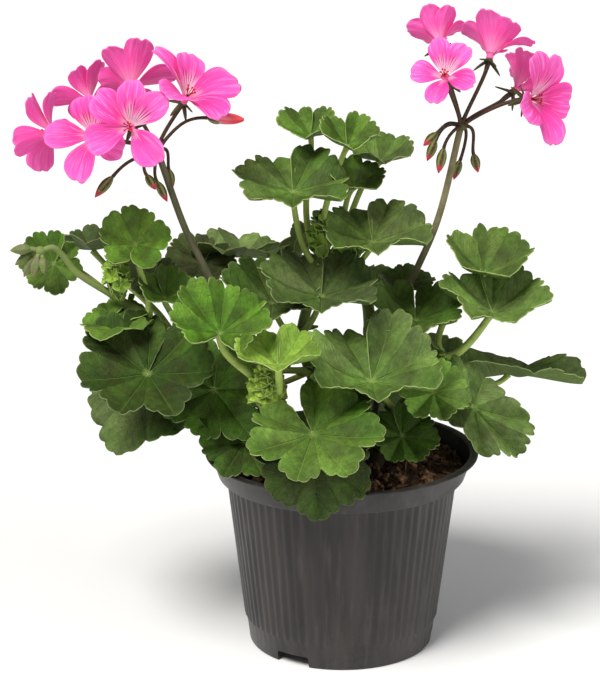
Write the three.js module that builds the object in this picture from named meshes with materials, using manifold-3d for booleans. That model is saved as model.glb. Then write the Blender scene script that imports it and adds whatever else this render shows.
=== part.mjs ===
// A zonal pelargonium in a plastic nursery pot, at its real size in millimetres.
// +Z is up, +X is to the right and -Y is to the front. The origin is the middle of the pot's foot.
import * as THREE from 'three';
import { mergeVertices } from 'three/addons/utils/BufferGeometryUtils.js';
import Module from 'manifold-3d';

const wasm = await Module();
wasm.setup();

const clearance = 0.3; // between pieces that touch
const turn = Math.PI * 2;
const radians = THREE.MathUtils.degToRad;

const pot = {
  height: 94.5,
  lipRadius: 65,
  lipThickness: 1.3,
  bandTopRadius: 61.6,
  bandFootRadius: 58.8,
  bandHeight: 11.5,
  shoulderRadius: 55,
  footRadius: 45,
  wall: 1.4,
  floorThickness: 2.4,
  floorHeight: 3.2,
  ribs: 40,
  ribDepth: 0.5,
  sides: 36,
};
const notch = { count: 3, first: -122, width: 17, height: 5.2, depth: 9 };
const drain = { count: 6, radius: 4, circle: 30 };
const soil = {
  bottom: pot.floorHeight + pot.floorThickness,
  edge: 86.5,
  ledge: 83.4,
  bumps: 1.6,
  heap: 2.5,
  rings: [14, 30, 46],
  holeGap: 1.2,
};
const blade = { thickness: 0.8, middleRing: 0.56 };
const floret = {
  petal: 21,
  width: 0.31,
  thickness: 0.7,
  throat: 1.6,
  claw: 0.8,
  fill: 0.8,
  receptacle: 3.4,
  sepal: 8.5,
};

const finish = {
  pot: new THREE.MeshStandardMaterial({ color: 0x4a4644, roughness: 0.5, metalness: 0 }),
  soil: new THREE.MeshStandardMaterial({ color: 0x2a1c14, roughness: 1, metalness: 0 }),
  leaf: new THREE.MeshStandardMaterial({ color: 0x3f6a2a, roughness: 0.6, metalness: 0 }),
  youngLeaf: new THREE.MeshStandardMaterial({ color: 0x6fa13a, roughness: 0.6, metalness: 0 }),
  flowerStalk: new THREE.MeshStandardMaterial({ color: 0x4a352c, roughness: 0.6, metalness: 0 }),
  petal: new THREE.MeshStandardMaterial({ color: 0xf45fae, roughness: 0.6, metalness: 0 }),
};

const vec = (x, y, z) => new THREE.Vector3(x, y, z);
const along = (from, direction, length) => from.clone().addScaledVector(direction, length);
const smooth = (points) => new THREE.CatmullRomCurve3(points.map((p) => vec(...p)), false, 'centripetal');

// Solids and meshes

function solidFrom(vertices, triangles) {
  const vertProperties = Float32Array.from(vertices);
  const make = (triVerts) => new wasm.Manifold(new wasm.Mesh({ numProp: 3, vertProperties, triVerts }));
  const solid = make(Uint32Array.from(triangles));
  if (solid.volume() > 0) return solid;
  const flipped = triangles.slice();
  for (let i = 0; i < flipped.length; i += 3) {
    [flipped[i + 1], flipped[i + 2]] = [flipped[i + 2], flipped[i + 1]];
  }
  return make(Uint32Array.from(flipped));
}

function solidOf(geometry) {
  const bare = geometry.clone();
  bare.deleteAttribute('normal');
  bare.deleteAttribute('uv');
  const merged = mergeVertices(bare, 1e-4);
  return solidFrom(Array.from(merged.attributes.position.array), Array.from(merged.index.array));
}

// The largest body of a solid: a union can leave a loose scrap behind.
function mainBody(solid) {
  return solid.decompose().sort((a, b) => b.volume() - a.volume())[0];
}

const part = new THREE.Group();

function addNode(name, solid, material) {
  const { vertProperties, triVerts, numProp, numVert } = mainBody(solid).getMesh();
  const position = new Float32Array(numVert * 3);
  for (let i = 0; i < numVert; i++) {
    position.set(vertProperties.subarray(i * numProp, i * numProp + 3), i * 3);
  }
  const geometry = new THREE.BufferGeometry();
  geometry.setAttribute('position', new THREE.BufferAttribute(position, 3));
  geometry.setIndex(new THREE.BufferAttribute(triVerts, 1));
  geometry.computeVertexNormals();
  const mesh = new THREE.Mesh(geometry, material);
  mesh.name = name;
  part.add(mesh);
  return mesh;
}

function turned(profile, sides) {
  const points = profile.map(([radius, height]) => new THREE.Vector2(radius, height));
  return solidOf(new THREE.LatheGeometry(points, sides).rotateX(Math.PI / 2));
}

// A round stalk along a curve, closed at both ends. Its stations are [share of the length, radius].
function stalk(curve, stations, sides = 4) {
  const vertices = [];
  const triangles = [];
  const last = stations.length - 1;
  let normal = curve.getTangentAt(0).cross(vec(0.31, 0.92, 0.23)).normalize();
  stations.forEach(([share, radius]) => {
    const centre = curve.getPointAt(share);
    const tangent = curve.getTangentAt(share);
    normal.addScaledVector(tangent, -normal.dot(tangent)).normalize();
    const binormal = tangent.clone().cross(normal);
    for (let j = 0; j < sides; j++) {
      const angle = (j / sides) * turn;
      const point = along(centre, normal, radius * Math.cos(angle));
      point.addScaledVector(binormal, radius * Math.sin(angle));
      vertices.push(point.x, point.y, point.z);
    }
  });
  for (let i = 0; i < last; i++) {
    for (let j = 0; j < sides; j++) {
      const a = i * sides + j;
      const b = i * sides + ((j + 1) % sides);
      triangles.push(a, b, b + sides, a, b + sides, a + sides);
    }
  }
  for (let j = 1; j < sides - 1; j++) {
    triangles.push(0, j + 1, j, last * sides, last * sides + j, last * sides + j + 1);
  }
  return solidFrom(vertices, triangles);
}

// Stations at even steps, with the radii spread over the length.
function evenStations(radii, steps) {
  return Array.from({ length: steps + 1 }, (_, i) => {
    const place = (i / steps) * (radii.length - 1);
    const low = Math.min(Math.floor(place), radii.length - 2);
    return [i / steps, THREE.MathUtils.lerp(radii[low], radii[low + 1], place - low)];
  });
}

// The directions of something flat that faces [azimuth, elevation], in degrees, with its tip turned by
// roll from straight downhill. Azimuth 0 faces the front and 90 the right, and elevation 90 faces up.
function directions([azimuth, elevation], roll) {
  const a = radians(azimuth);
  const e = radians(elevation);
  const normal = vec(Math.sin(a) * Math.cos(e), -Math.cos(a) * Math.cos(e), Math.sin(e));
  const downhill = vec(Math.sin(a) * Math.sin(e), -Math.cos(a) * Math.sin(e), -Math.cos(e));
  const across = normal.clone().cross(downhill);
  const r = radians(roll);
  const tip = downhill.multiplyScalar(Math.cos(r)).addScaledVector(across, Math.sin(r));
  return { normal, tip, left: normal.clone().cross(tip) };
}

function toPlace(local, at, { normal, tip, left }) {
  return along(along(along(at, tip, local.x), left, local.y), normal, local.z);
}

// Pot

function makePot() {
  const shoulder = pot.height - pot.bandHeight;
  const star = new THREE.Shape();
  for (let i = 0; i < pot.ribs * 2; i++) {
    const angle = (i / (pot.ribs * 2)) * turn;
    const radius = pot.footRadius - (i % 2 ? pot.ribDepth : 0);
    star[i ? 'lineTo' : 'moveTo'](radius * Math.cos(angle), radius * Math.sin(angle));
  }
  const ribbed = new THREE.ExtrudeGeometry(star, { depth: shoulder, bevelEnabled: false, steps: 1 });
  const place = ribbed.attributes.position;
  const flare = pot.shoulderRadius / pot.footRadius;
  for (let i = 0; i < place.count; i++) {
    if (place.getZ(i) > 1) place.setXY(i, place.getX(i) * flare, place.getY(i) * flare);
  }
  const lipFoot = pot.height - pot.lipThickness;
  const band = turned([
    [0, shoulder - 1],
    [pot.shoulderRadius - 2, shoulder - 1],
    [pot.bandFootRadius, shoulder],
    [pot.bandTopRadius, lipFoot - 1.6],
    [pot.lipRadius - 0.6, lipFoot],
    [pot.lipRadius, pot.height - 0.6],
    [pot.lipRadius - 0.8, pot.height],
    [0, pot.height],
  ], pot.sides);
  const floorTop = pot.floorHeight + pot.floorThickness;
  const inside = turned([
    [0, floorTop],
    [pot.footRadius - 2.6, floorTop],
    [pot.shoulderRadius - pot.wall - pot.ribDepth, shoulder],
    [pot.bandFootRadius - pot.wall, shoulder + 1],
    [pot.bandTopRadius - pot.wall, lipFoot - 1.2],
    [pot.bandTopRadius + 0.6, pot.height + 1],
    [0, pot.height + 1],
  ], pot.sides);
  const channel = turned([
    [22, -1],
    [pot.footRadius - 3.4, -1],
    [pot.footRadius - 4.4, pot.floorHeight],
    [23, pot.floorHeight],
    [22, -1],
  ], pot.sides);
  let shell = solidOf(ribbed).add(band).subtract(inside).subtract(channel);
  for (let i = 0; i < notch.count; i++) {
    const cut = new THREE.BoxGeometry(notch.depth, notch.width, notch.height * 2);
    cut.translate(pot.footRadius, 0, 0).rotateZ(radians(notch.first) + (i / notch.count) * turn);
    shell = shell.subtract(solidOf(cut));
  }
  for (let i = 0; i < drain.count; i++) {
    const hole = new THREE.CylinderGeometry(drain.radius, drain.radius, 20, 8).rotateX(Math.PI / 2);
    hole.translate(drain.circle, 0, 0).rotateZ((i / drain.count) * turn);
    shell = shell.subtract(solidOf(hole));
  }
  return shell;
}

// Soil, with a plain hole for each stem

function makeSoil(standing) {
  const shoulder = pot.height - pot.bandHeight;
  const edgeRadius = pot.bandFootRadius - pot.wall - clearance * 2;
  const wallRadius = pot.shoulderRadius - pot.wall - pot.ribDepth - clearance * 2.5;
  const vertices = [];
  const triangles = [];
  const bump = (x, y) => {
    const ripple = 0.6 * Math.sin(x * 0.13 - y * 0.37);
    return Math.sin(x * 0.31 + 1.3) * Math.cos(y * 0.27) + ripple;
  };
  const ring = (radius, height, bumps) => {
    for (let i = 0; i < pot.sides; i++) {
      const angle = (i / pot.sides) * turn;
      const x = radius * Math.sin(angle);
      const y = -radius * Math.cos(angle);
      const heap = bumps ? (soil.heap * (x + y)) / edgeRadius : 0;
      vertices.push(x, y, height + bumps * bump(x, y) + heap);
    }
  };
  const foot = soil.bottom + clearance;
  vertices.push(0, 0, foot, 0, 0, soil.edge + 2);
  ring(pot.footRadius - 3, foot, 0);
  ring(wallRadius, soil.ledge, 0);
  ring(edgeRadius, shoulder + 2.5, 0);
  for (const radius of [...soil.rings].reverse()) {
    ring(radius, soil.edge + 1.5 - radius / 40, soil.bumps);
  }
  const at = (ringIndex, i) => 2 + ringIndex * pot.sides + (i % pot.sides);
  const last = 2 + soil.rings.length;
  for (let i = 0; i < pot.sides; i++) {
    triangles.push(0, at(0, i + 1), at(0, i));
    for (let j = 0; j < last; j++) {
      triangles.push(at(j, i), at(j, i + 1), at(j + 1, i + 1), at(j, i), at(j + 1, i + 1), at(j + 1, i));
    }
    triangles.push(at(last, i), at(last, i + 1), 1);
  }
  let body = solidFrom(vertices, triangles);
  for (const stem of standing) {
    const [x, y, stemFoot] = stem.points[0];
    const radius = stem.radii[0] + soil.holeGap;
    const hole = new THREE.CylinderGeometry(radius, radius, 60, 7).rotateX(Math.PI / 2);
    hole.translate(x, y, stemFoot - clearance + 30);
    body = body.subtract(solidOf(hole));
  }
  return body;
}

// Stems: woody shoots that stand in the soil and carry the leaves

const stems = {
  left: {
    points: [
      [-14, 0, 58], [-14, 0, 75], [-14, 0, 92], [-24, -1, 107],
      [-48, -3, 126], [-78, -1, 150], [-107, 0, 170],
    ],
    radii: [4.2, 4.2, 4.2, 4, 3.6, 3.2, 2.4],
  },
  front: {
    points: [
      [-2, -18, 58], [-2, -18, 75], [-2, -18, 92],
      [-8, -24, 103], [-22, -32, 115], [-35, -37, 128],
    ],
    radii: [3.8, 3.8, 3.8, 3.6, 3.2, 2.4],
  },
  middle: {
    points: [
      [0, 6, 58], [0, 6, 75], [0, 6, 92], [-6, 8, 111],
      [-15, 10, 131], [-19, 10, 146], [-15, 11, 167], [-8, 12, 190],
    ],
    radii: [4.2, 4.2, 4.2, 3.6, 3, 2.8, 2.6, 2.2],
  },
  right: {
    points: [
      [17, -2, 58], [17, -2, 75], [17, -2, 92],
      [24, -1, 108], [36, 2, 124], [48, 4, 142],
    ],
    radii: [4.2, 4.2, 4.2, 4, 3.6, 2.8],
  },
  back: {
    points: [
      [6, 24, 58], [6, 24, 75], [6, 24, 92], [10, 32, 112],
      [14, 40, 132], [13, 44, 156], [6, 46, 178],
    ],
    radii: [4, 4, 4, 3.8, 3.4, 3, 2.4],
  },
};
for (const stem of Object.values(stems)) {
  stem.curve = smooth(stem.points);
}

function stemRadius(stem, t) {
  const place = t * (stem.radii.length - 1);
  const low = Math.min(Math.floor(place), stem.radii.length - 2);
  return THREE.MathUtils.lerp(stem.radii[low], stem.radii[low + 1], place - low);
}

// Where a stalk leaves a stem, on the side towards its target.
function rootOn(stemName, t, target) {
  const stem = stems[stemName];
  const centre = stem.curve.getPointAt(t);
  const tangent = stem.curve.getTangentAt(t);
  const out = target.clone().sub(centre);
  out.addScaledVector(tangent, -out.dot(tangent)).normalize();
  return { centre, out, tangent, radius: stemRadius(stem, t) };
}

// Leaves

const leafDefaults = {
  lobes: 7,
  teeth: 2,
  open: 177, // half the angle that the blade spans about its stalk: the rest is the gap at its base
  cut: 0.15,
  tooth: 0.05,
  cone: 15, // how far the blade rises from its stalk to its edge, in degrees
  droop: 0,
  pleat: 0.05,
  wave: 0.05,
  waves: 3,
  phase: 0,
  fold: 0,
  width: 1,
  thick: 1.3, // the radius of its stalk
  steps: 3,
  bow: [0, 0, 0],
};

// A point of the blade before it is placed. Theta is the angle from the tip, and q runs from the stalk
// to the edge.
function bladePoint(leaf, theta, q) {
  const share = theta / radians(leaf.open);
  const place = ((share + 1) / 2) * leaf.lobes;
  const inLobe = place - Math.floor(place);
  const lobe = Math.sqrt(Math.abs(Math.sin(Math.PI * inLobe)));
  const tooth = Math.abs(Math.sin(Math.PI * inLobe * leaf.teeth)) ** 0.7;
  let outline = (1 - 0.14 * Math.abs(share) ** 3) * (1 + 0.04 * Math.sin(2.3 * theta + leaf.phase));
  outline *= (1 - leaf.cut * (1 - lobe)) * (1 - leaf.tooth * (1 - tooth));
  const slant = leaf.size * outline * q;
  const cone = radians(leaf.cone);
  const x = slant * Math.cos(cone) * Math.cos(theta);
  let y = leaf.width * slant * Math.cos(cone) * Math.sin(theta);
  let z = slant * Math.sin(cone) * (0.6 + 0.4 * q);
  z += leaf.size * leaf.pleat * q * Math.cos(turn * inLobe);
  z += leaf.size * leaf.wave * q ** 2.5 * Math.sin(leaf.waves * theta + leaf.phase);
  z -= leaf.size * leaf.droop * (q * Math.max(0, Math.cos(theta))) ** 2;
  const fold = radians(leaf.fold);
  const soft = leaf.size * 0.1;
  z += (Math.hypot(y, soft) - soft) * Math.sin(fold);
  y *= Math.cos(fold);
  return vec(x, y, z);
}

function bladeNormal(leaf, theta, q) {
  const step = 0.02;
  const near = Math.max(q, 0.15);
  const across = bladePoint(leaf, theta + step, near).sub(bladePoint(leaf, theta - step, near));
  const outwards = bladePoint(leaf, theta, near + step).sub(bladePoint(leaf, theta, near - step));
  return outwards.cross(across).normalize();
}

// The path of a leaf's stalk, from inside its stem to the underside of its blade.
function petiolePath(leaf, at, frame) {
  const bark = rootOn(leaf.stem, leaf.t, at);
  const leave = bark.out.clone().addScaledVector(bark.tangent, 0.4).normalize();
  const root = along(bark.centre, bark.out, bark.radius * 0.3);
  const reach = at.distanceTo(root);
  const arrive = frame.normal.clone().multiplyScalar(0.8).addScaledVector(frame.tip, 0.6).normalize();
  const bow = vec(...leaf.bow);
  return new THREE.CubicBezierCurve3(
    root,
    along(root, leave, reach * 0.35).add(bow),
    along(at, arrive, -reach * 0.35).add(bow),
    along(at, frame.normal, -blade.thickness),
  );
}

// A blade and its four-sided stalk as one closed surface. The blade's two faces have the same triangles.
function makeLeaf(row) {
  const leaf = { ...leafDefaults, ...row };
  const at = vec(...leaf.at);
  const frame = directions(leaf.face, leaf.tip);
  const vertices = [];
  const triangles = [];
  const push = (point) => {
    vertices.push(point.x, point.y, point.z);
    return vertices.length / 3 - 1;
  };
  const span = radians(leaf.open);
  const halves = leaf.lobes * 2;
  const edges = halves * leaf.teeth;
  const onBlade = (share, q) => {
    const theta = span * (share * 2 - 1);
    const normal = bladeNormal(leaf, theta, q);
    const middle = bladePoint(leaf, theta, q);
    const offset = (side) => along(middle, normal, (side * blade.thickness) / 2);
    return [1, -1].map((side) => push(toPlace(offset(side), at, frame)));
  };
  const centre = push(along(at, frame.normal, blade.thickness / 2));
  const middle = Array.from({ length: halves + 1 }, (_, i) => onBlade(i / halves, blade.middleRing));
  const rim = Array.from({ length: edges + 1 }, (_, i) => onBlade(i / edges, 1));

  const corners = [-3, -1, 1, 3].map((quarter) => (quarter * Math.PI) / 4);
  const ringAt = (point, forward, sideways, radius) => corners.map((angle) =>
    push(along(along(point, forward, radius * Math.cos(angle)), sideways, radius * Math.sin(angle))));
  const path = petiolePath(leaf, at, frame);
  const rings = [ringAt(path.getPoint(1), frame.tip, frame.left, leaf.thick)];
  const forward = frame.tip.clone();
  for (let i = leaf.steps - 1; i >= 0; i--) {
    const tangent = path.getTangentAt(i / leaf.steps);
    forward.addScaledVector(tangent, -forward.dot(tangent)).normalize();
    const radius = leaf.thick * (1.3 - (0.3 * i) / leaf.steps);
    rings.push(ringAt(path.getPointAt(i / leaf.steps), forward, tangent.clone().cross(forward), radius));
  }
  const [collar] = rings;

  const corner = (i) => Math.min(3, Math.floor(((i + 0.5) / halves) * 4));
  const faces = (a, b, c) => triangles.push(a[0], b[0], c[0], a[1], c[1], b[1]);
  const wall = (a, b) => triangles.push(a[0], a[1], b[1], a[0], b[1], b[0]);
  for (let i = 0; i < halves; i++) {
    const [a, aUnder] = middle[i];
    const [b, bUnder] = middle[i + 1];
    triangles.push(centre, a, b, collar[corner(i)], bUnder, aUnder);
    if (i && corner(i) !== corner(i - 1)) triangles.push(aUnder, collar[corner(i - 1)], collar[corner(i)]);
    const first = i * leaf.teeth;
    const half = first + Math.floor(leaf.teeth / 2);
    for (let j = first; j < first + leaf.teeth; j++) {
      faces(j < half ? middle[i] : middle[i + 1], rim[j], rim[j + 1]);
    }
    faces(middle[i], rim[half], middle[i + 1]);
  }
  for (let i = 0; i < edges; i++) wall(rim[i], rim[i + 1]);
  wall([centre, collar[0]], middle[0]);
  wall(middle[0], rim[0]);
  wall(rim[edges], middle[halves]);
  wall(middle[halves], [centre, collar[3]]);
  triangles.push(collar[0], centre, collar[3]);
  for (let i = 0; i < rings.length - 1; i++) {
    for (let j = 0; j < 4; j++) {
      const next = (j + 1) % 4;
      const [a, b, c, d] = [rings[i][next], rings[i][j], rings[i + 1][j], rings[i + 1][next]];
      triangles.push(a, b, c, a, c, d);
    }
  }
  const [r0, r1, r2, r3] = rings[rings.length - 1];
  triangles.push(r0, r2, r1, r0, r3, r2);
  return solidFrom(vertices, triangles);
}

// Each leaf: the stem it grows on and how far along, where its blade meets its stalk, the way the blade
// faces, how its tip is turned, and its size from the stalk to the tip.
const leaves = [
  // the left stem
  { name: 'leaf_left_big', stem: 'left', t: 0.8, at: [-90, -24, 139], face: [-8, 53], tip: -18,
    size: 34, cone: 16, phase: 1, cut: 0.18 },
  { name: 'leaf_left_under', stem: 'left', t: 0.42, at: [-93, 6, 118], face: [-12, 70], tip: -25,
    size: 29, cone: 0, droop: 0.55, lobes: 5, teeth: 1 },
  { name: 'leaf_left_raised', stem: 'left', t: 0.88, at: [-96, -2, 195], face: [0, 42], tip: 172,
    size: 19, lobes: 5, cut: 0.24, cone: 20 },
  { name: 'leaf_left_far', stem: 'left', t: 0.95, at: [-136, 14, 182], face: [-15, 30], tip: -30,
    size: 17, cut: 0.22 },
  { name: 'leaf_left_low', stem: 'left', t: 0.85, at: [-106, -8, 158], face: [-5, 78], tip: -85,
    size: 19, lobes: 5, cone: 10, teeth: 1 },
  { name: 'leaf_left_small', stem: 'left', t: 0.77, at: [-83, 0, 169], face: [10, 56], tip: 25,
    size: 17, lobes: 5, cone: 38 },
  { name: 'leaf_left_back', stem: 'left', t: 0.8, at: [-119, 30, 185], face: [-20, 90], tip: -60,
    size: 17, lobes: 5, fold: 20, teeth: 1 },
  { name: 'leaf_left_behind', stem: 'left', t: 0.62, at: [-90, 20, 174], face: [0, 50], tip: -20,
    size: 15, lobes: 5, teeth: 1 },
  // the front stem
  { name: 'leaf_front_raised', stem: 'front', t: 0.97, at: [-56, -38, 162], face: [3, 58], tip: 172,
    size: 27, cone: 30, cut: 0.2, open: 165 },
  { name: 'leaf_front_young', stem: 'front', t: 0.96, at: [-29.5, -52, 151], face: [0, 76], tip: 0,
    size: 23, lobes: 5, cone: 28 },
  { name: 'leaf_front_middle', stem: 'front', t: 0.6, at: [-14, -54, 119.5], face: [0, 52], tip: 33,
    size: 32, cone: 12, cut: 0.24, open: 162 },
  { name: 'leaf_front_low', stem: 'front', t: 0.45, at: [-14, -57.5, 110.2], face: [0, 46], tip: 5,
    size: 28.5, cone: 0, droop: 0.5 },
  { name: 'leaf_front_left', stem: 'middle', t: 0.55, at: [-60, -13, 128], face: [-5, 28], tip: -12,
    size: 29, cut: 0.2, cone: 10, bow: [0, -10, 6] },
  { name: 'leaf_rim_left', stem: 'front', t: 0.4, at: [-45.5, -24, 105.5], face: [-10, 52], tip: -20,
    size: 23, droop: 0.2 },
  // the middle stem
  { name: 'leaf_top_left', stem: 'middle', t: 0.93, at: [-23, 4, 219], face: [0, 69], tip: 0,
    size: 29.5, cone: 17 },
  { name: 'leaf_top_small', stem: 'middle', t: 0.97, at: [-15, 22, 241.5], face: [-10, 66], tip: 0,
    size: 18, lobes: 5, cone: 34 },
  { name: 'leaf_top_right', stem: 'middle', t: 0.98, at: [2, 4, 240], face: [10, 62], tip: 0,
    size: 18.5, lobes: 5, cone: 40 },
  { name: 'leaf_top_back', stem: 'middle', t: 0.95, at: [18, 30, 228], face: [20, 72], tip: 60,
    size: 18, lobes: 5, cone: 28, teeth: 1 },
  { name: 'leaf_top_low', stem: 'middle', t: 0.94, at: [5, 12, 219], face: [10, 68], tip: 40,
    size: 17, lobes: 5, cone: 28, teeth: 1 },
  { name: 'leaf_middle_right', stem: 'middle', t: 0.85, at: [14, 2, 195], face: [5, 74], tip: 0,
    size: 30, cone: 20 },
  { name: 'leaf_middle_dark', stem: 'middle', t: 0.7, at: [-10, -6, 171], face: [0, 69], tip: 0,
    size: 30, cone: 21 },
  { name: 'leaf_middle_left', stem: 'middle', t: 0.66, at: [-33, 5, 165], face: [0, 60], tip: 0,
    size: 27, cone: 28, teeth: 1 },
  // the right stem
  { name: 'leaf_right_middle', stem: 'right', t: 0.75, at: [34, -1, 157], face: [5, 66], tip: 0,
    size: 26, cone: 24, open: 170 },
  { name: 'leaf_right_big', stem: 'right', t: 0.6, at: [13, -32, 137.5], face: [5, 68], tip: 0,
    size: 37, cone: 26 },
  { name: 'leaf_right_under', stem: 'right', t: 0.5, at: [42, -24, 130], face: [5, 42], tip: 10,
    size: 19 },
  { name: 'leaf_right_out', stem: 'right', t: 0.97, at: [70.5, 0, 162], face: [12, 72], tip: 10,
    size: 29, cone: 27 },
  { name: 'leaf_right_high', stem: 'right', t: 0.98, at: [67, 12, 178], face: [10, 64], tip: 20,
    size: 26, lobes: 5, cone: 38 },
  { name: 'leaf_right_far', stem: 'right', t: 0.85, at: [80, 14, 128], face: [0, 90], tip: 90,
    size: 42, lobes: 5, fold: 20, cone: 0, width: 0.42, teeth: 1 },
  { name: 'leaf_rim_right', stem: 'right', t: 0.65, at: [61.5, -12, 119], face: [10, 38], tip: 35,
    size: 36, cone: 3, fold: 10, width: 0.5 },
  { name: 'leaf_low_right', stem: 'right', t: 0.4, at: [28, -18, 107], face: [10, 42], tip: 20,
    size: 18, teeth: 1 },
  { name: 'leaf_low_middle', stem: 'right', t: 0.5, at: [4, -10, 127], face: [0, 60], tip: 0,
    size: 20, lobes: 5, teeth: 1 },
  // the back stem
  { name: 'leaf_back_left', stem: 'back', t: 0.92, at: [-48, 50, 177], face: [0, 96], tip: -70,
    size: 30, fold: 10, cone: 6, teeth: 1 },
  { name: 'leaf_back_narrow', stem: 'back', t: 0.85, at: [-20, 40, 179], face: [-70, 20], tip: 150,
    size: 24, width: 0.3, fold: 40, lobes: 5, teeth: 1 },
  { name: 'leaf_back_dark', stem: 'back', t: 0.85, at: [-67, 38, 176], face: [-5, 60], tip: -30,
    size: 19, teeth: 1 },
  { name: 'leaf_back_right', stem: 'back', t: 0.75, at: [31, 30, 168], face: [20, 75], tip: 20,
    size: 15, lobes: 5, teeth: 1 },
  { name: 'leaf_rear_middle', stem: 'back', t: 0.97, at: [0, 64, 156], face: [175, 62], tip: 0,
    size: 30, cone: 14, teeth: 1 },
  { name: 'leaf_rear_left', stem: 'back', t: 0.55, at: [-48, 50, 112], face: [-145, 52], tip: 10,
    size: 30, cone: 10, teeth: 1 },
  { name: 'leaf_rear_right', stem: 'back', t: 0.65, at: [44, 58, 122], face: [140, 50], tip: 0,
    size: 31, cone: 12, teeth: 1 },
  { name: 'leaf_rear_low', stem: 'back', t: 0.4, at: [10, 62, 104], face: [175, 35], tip: 0,
    size: 27, cone: 5, teeth: 1 },
];

// Flowers

// A thin pointed leaflet, widest near its middle.
function leaflet(from, direction, facing, length, width) {
  const side = direction.clone().cross(facing).normalize();
  const normal = side.clone().cross(direction).normalize();
  const middle = along(from, direction, length * 0.55);
  const corners = [
    from,
    along(middle, side, width / 2),
    along(from, direction, length),
    along(middle, side, -width / 2),
  ];
  const vertices = corners.flatMap((corner, i) => {
    const lift = i % 2 ? width * 0.18 : 0;
    const half = blade.thickness / 2;
    return [half, -half].flatMap((offset) => along(corner, normal, lift + offset).toArray());
  });
  const triangles = [0, 2, 4, 0, 4, 6, 1, 5, 3, 1, 7, 5];
  for (let i = 0; i < 4; i++) {
    const a = i * 2;
    const b = ((i + 1) % 4) * 2;
    triangles.push(a, a + 1, b + 1, a, b + 1, b);
  }
  return solidFrom(vertices, triangles);
}

// A closed bud on its own thin stalk: the stalk is drawn first and then the bud on the same curve.
function buddedStalk(start, leave, from, to, radius, budded = true) {
  const hang = to.clone().sub(from).normalize();
  const reach = start.distanceTo(from);
  const bend = new THREE.CubicBezierCurve3(
    start,
    along(start, leave, reach * 0.5),
    along(from, hang, -reach * 0.35),
    from,
  );
  const path = new THREE.CurvePath();
  path.add(bend);
  path.add(new THREE.LineCurve3(from, to));
  const stem = bend.getLength() / path.getLength();
  const swell = (share) => stem + (1 - stem) * share;
  const pedicel = [[0, 0.85], [stem * 0.3, 0.75], [stem * 0.55, 0.7], [stem * 0.8, 0.75]];
  if (!budded) return stalk(path, [...pedicel, [stem * 0.92, radius * 0.75], [stem, radius * 0.9]], 5);
  const bud = [[stem, radius * 0.5], [swell(0.35), radius], [swell(0.7), radius * 0.8], [1, radius * 0.25]];
  return stalk(path, [...pedicel, ...bud], 5);
}

// The way out from a flower's axis at an angle from its top.
function aboutAxis({ up, right }, angle) {
  return up.clone().multiplyScalar(Math.cos(angle)).addScaledVector(right, Math.sin(angle));
}

// The width a petal may have for each millimetre it is away from the axis, so that it stays clear of the
// petals beside it.
function roomBeside(places, i) {
  const gaps = [1, places.length - 1].map((step) => {
    const apart = Math.abs(places[(i + step) % places.length] - places[i]);
    return Math.min(apart, 360 - apart);
  });
  return floret.fill * Math.tan(radians(Math.min(...gaps) / 2));
}

// The point of a petal at s along it and w across it, and the way its inner face looks there.
function petalPoint(flower, across, room, s, w) {
  const { at, axis } = flower;
  const out = aboutAxis(flower, across);
  const side = axis.clone().cross(out);
  const first = radians(flower.spread - 22);
  const last = radians(flower.spread + 18);
  const lean = first + (last - first) * s;
  const arc = (floret.petal * flower.scale) / (last - first);
  const point = along(at, axis, arc * (Math.sin(lean) - Math.sin(first)));
  const away = arc * (Math.cos(first) - Math.cos(lean)) + floret.throat;
  point.addScaledVector(out, away);
  const full = floret.petal * flower.scale * floret.width * Math.sin(Math.PI * 0.6 * s ** 1.2);
  const half = Math.min(full + floret.claw * (1 - s), away * room);
  point.addScaledVector(side, half * w);
  const inner = axis.clone().multiplyScalar(Math.sin(lean)).addScaledVector(out, -Math.cos(lean));
  return { point: along(point, inner, 0.28 * half * w * w), inner };
}

// The outline of a petal from its claw round its end and back: the share of its length and of half its
// width.
const petalOutline = [
  [0, 1], [0.4, 1], [0.78, 1], [0.97, 0.55],
  [0.97, -0.55], [0.78, -1], [0.4, -1], [0, -1],
];
// Where the petals stand about the flower, in degrees from its top.
const petalPlaces = [-25, 25, 102, 180, 258];

// Five petals that grow from the sides of a short throat, as one closed surface.
function makeFloret(row) {
  const flower = flowerFrame(row);
  const vertices = [];
  const triangles = [];
  const push = (point) => {
    vertices.push(point.x, point.y, point.z);
    return vertices.length / 3 - 1;
  };
  const crown = push(along(flower.at, flower.axis, 0.6));
  const foot = push(along(flower.at, flower.axis, clearance - floret.receptacle));
  const claws = flower.places.map((place, index) => {
    const across = radians(place);
    const room = roomBeside(flower.places, index);
    const corners = petalOutline.map(([s, w]) => {
      const { point, inner } = petalPoint(flower, across, room, s, w);
      return [1, -1].map((side) => push(along(point, inner, (side * floret.thickness) / 2)));
    });
    const { point, inner } = petalPoint(flower, across, room, 0.62, 0);
    const [top, under] = [1, -1].map((side) => push(along(point, inner, (side * floret.thickness) / 2)));
    corners.forEach(([a, aUnder], i) => {
      const [b, bUnder] = corners[(i + 1) % corners.length];
      triangles.push(top, a, b, under, bUnder, aUnder);
      if (i < corners.length - 1) triangles.push(a, aUnder, bUnder, a, bUnder, b);
    });
    return [corners[0], corners[corners.length - 1]];
  });
  claws.forEach(([first, last], i) => {
    const [next] = claws[(i + 1) % claws.length];
    triangles.push(crown, first[0], last[0], crown, last[0], next[0]);
    triangles.push(foot, last[1], first[1], foot, next[1], last[1]);
    triangles.push(last[0], last[1], next[1], last[0], next[1], next[0]);
  });
  return solidFrom(vertices, triangles);
}

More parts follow.
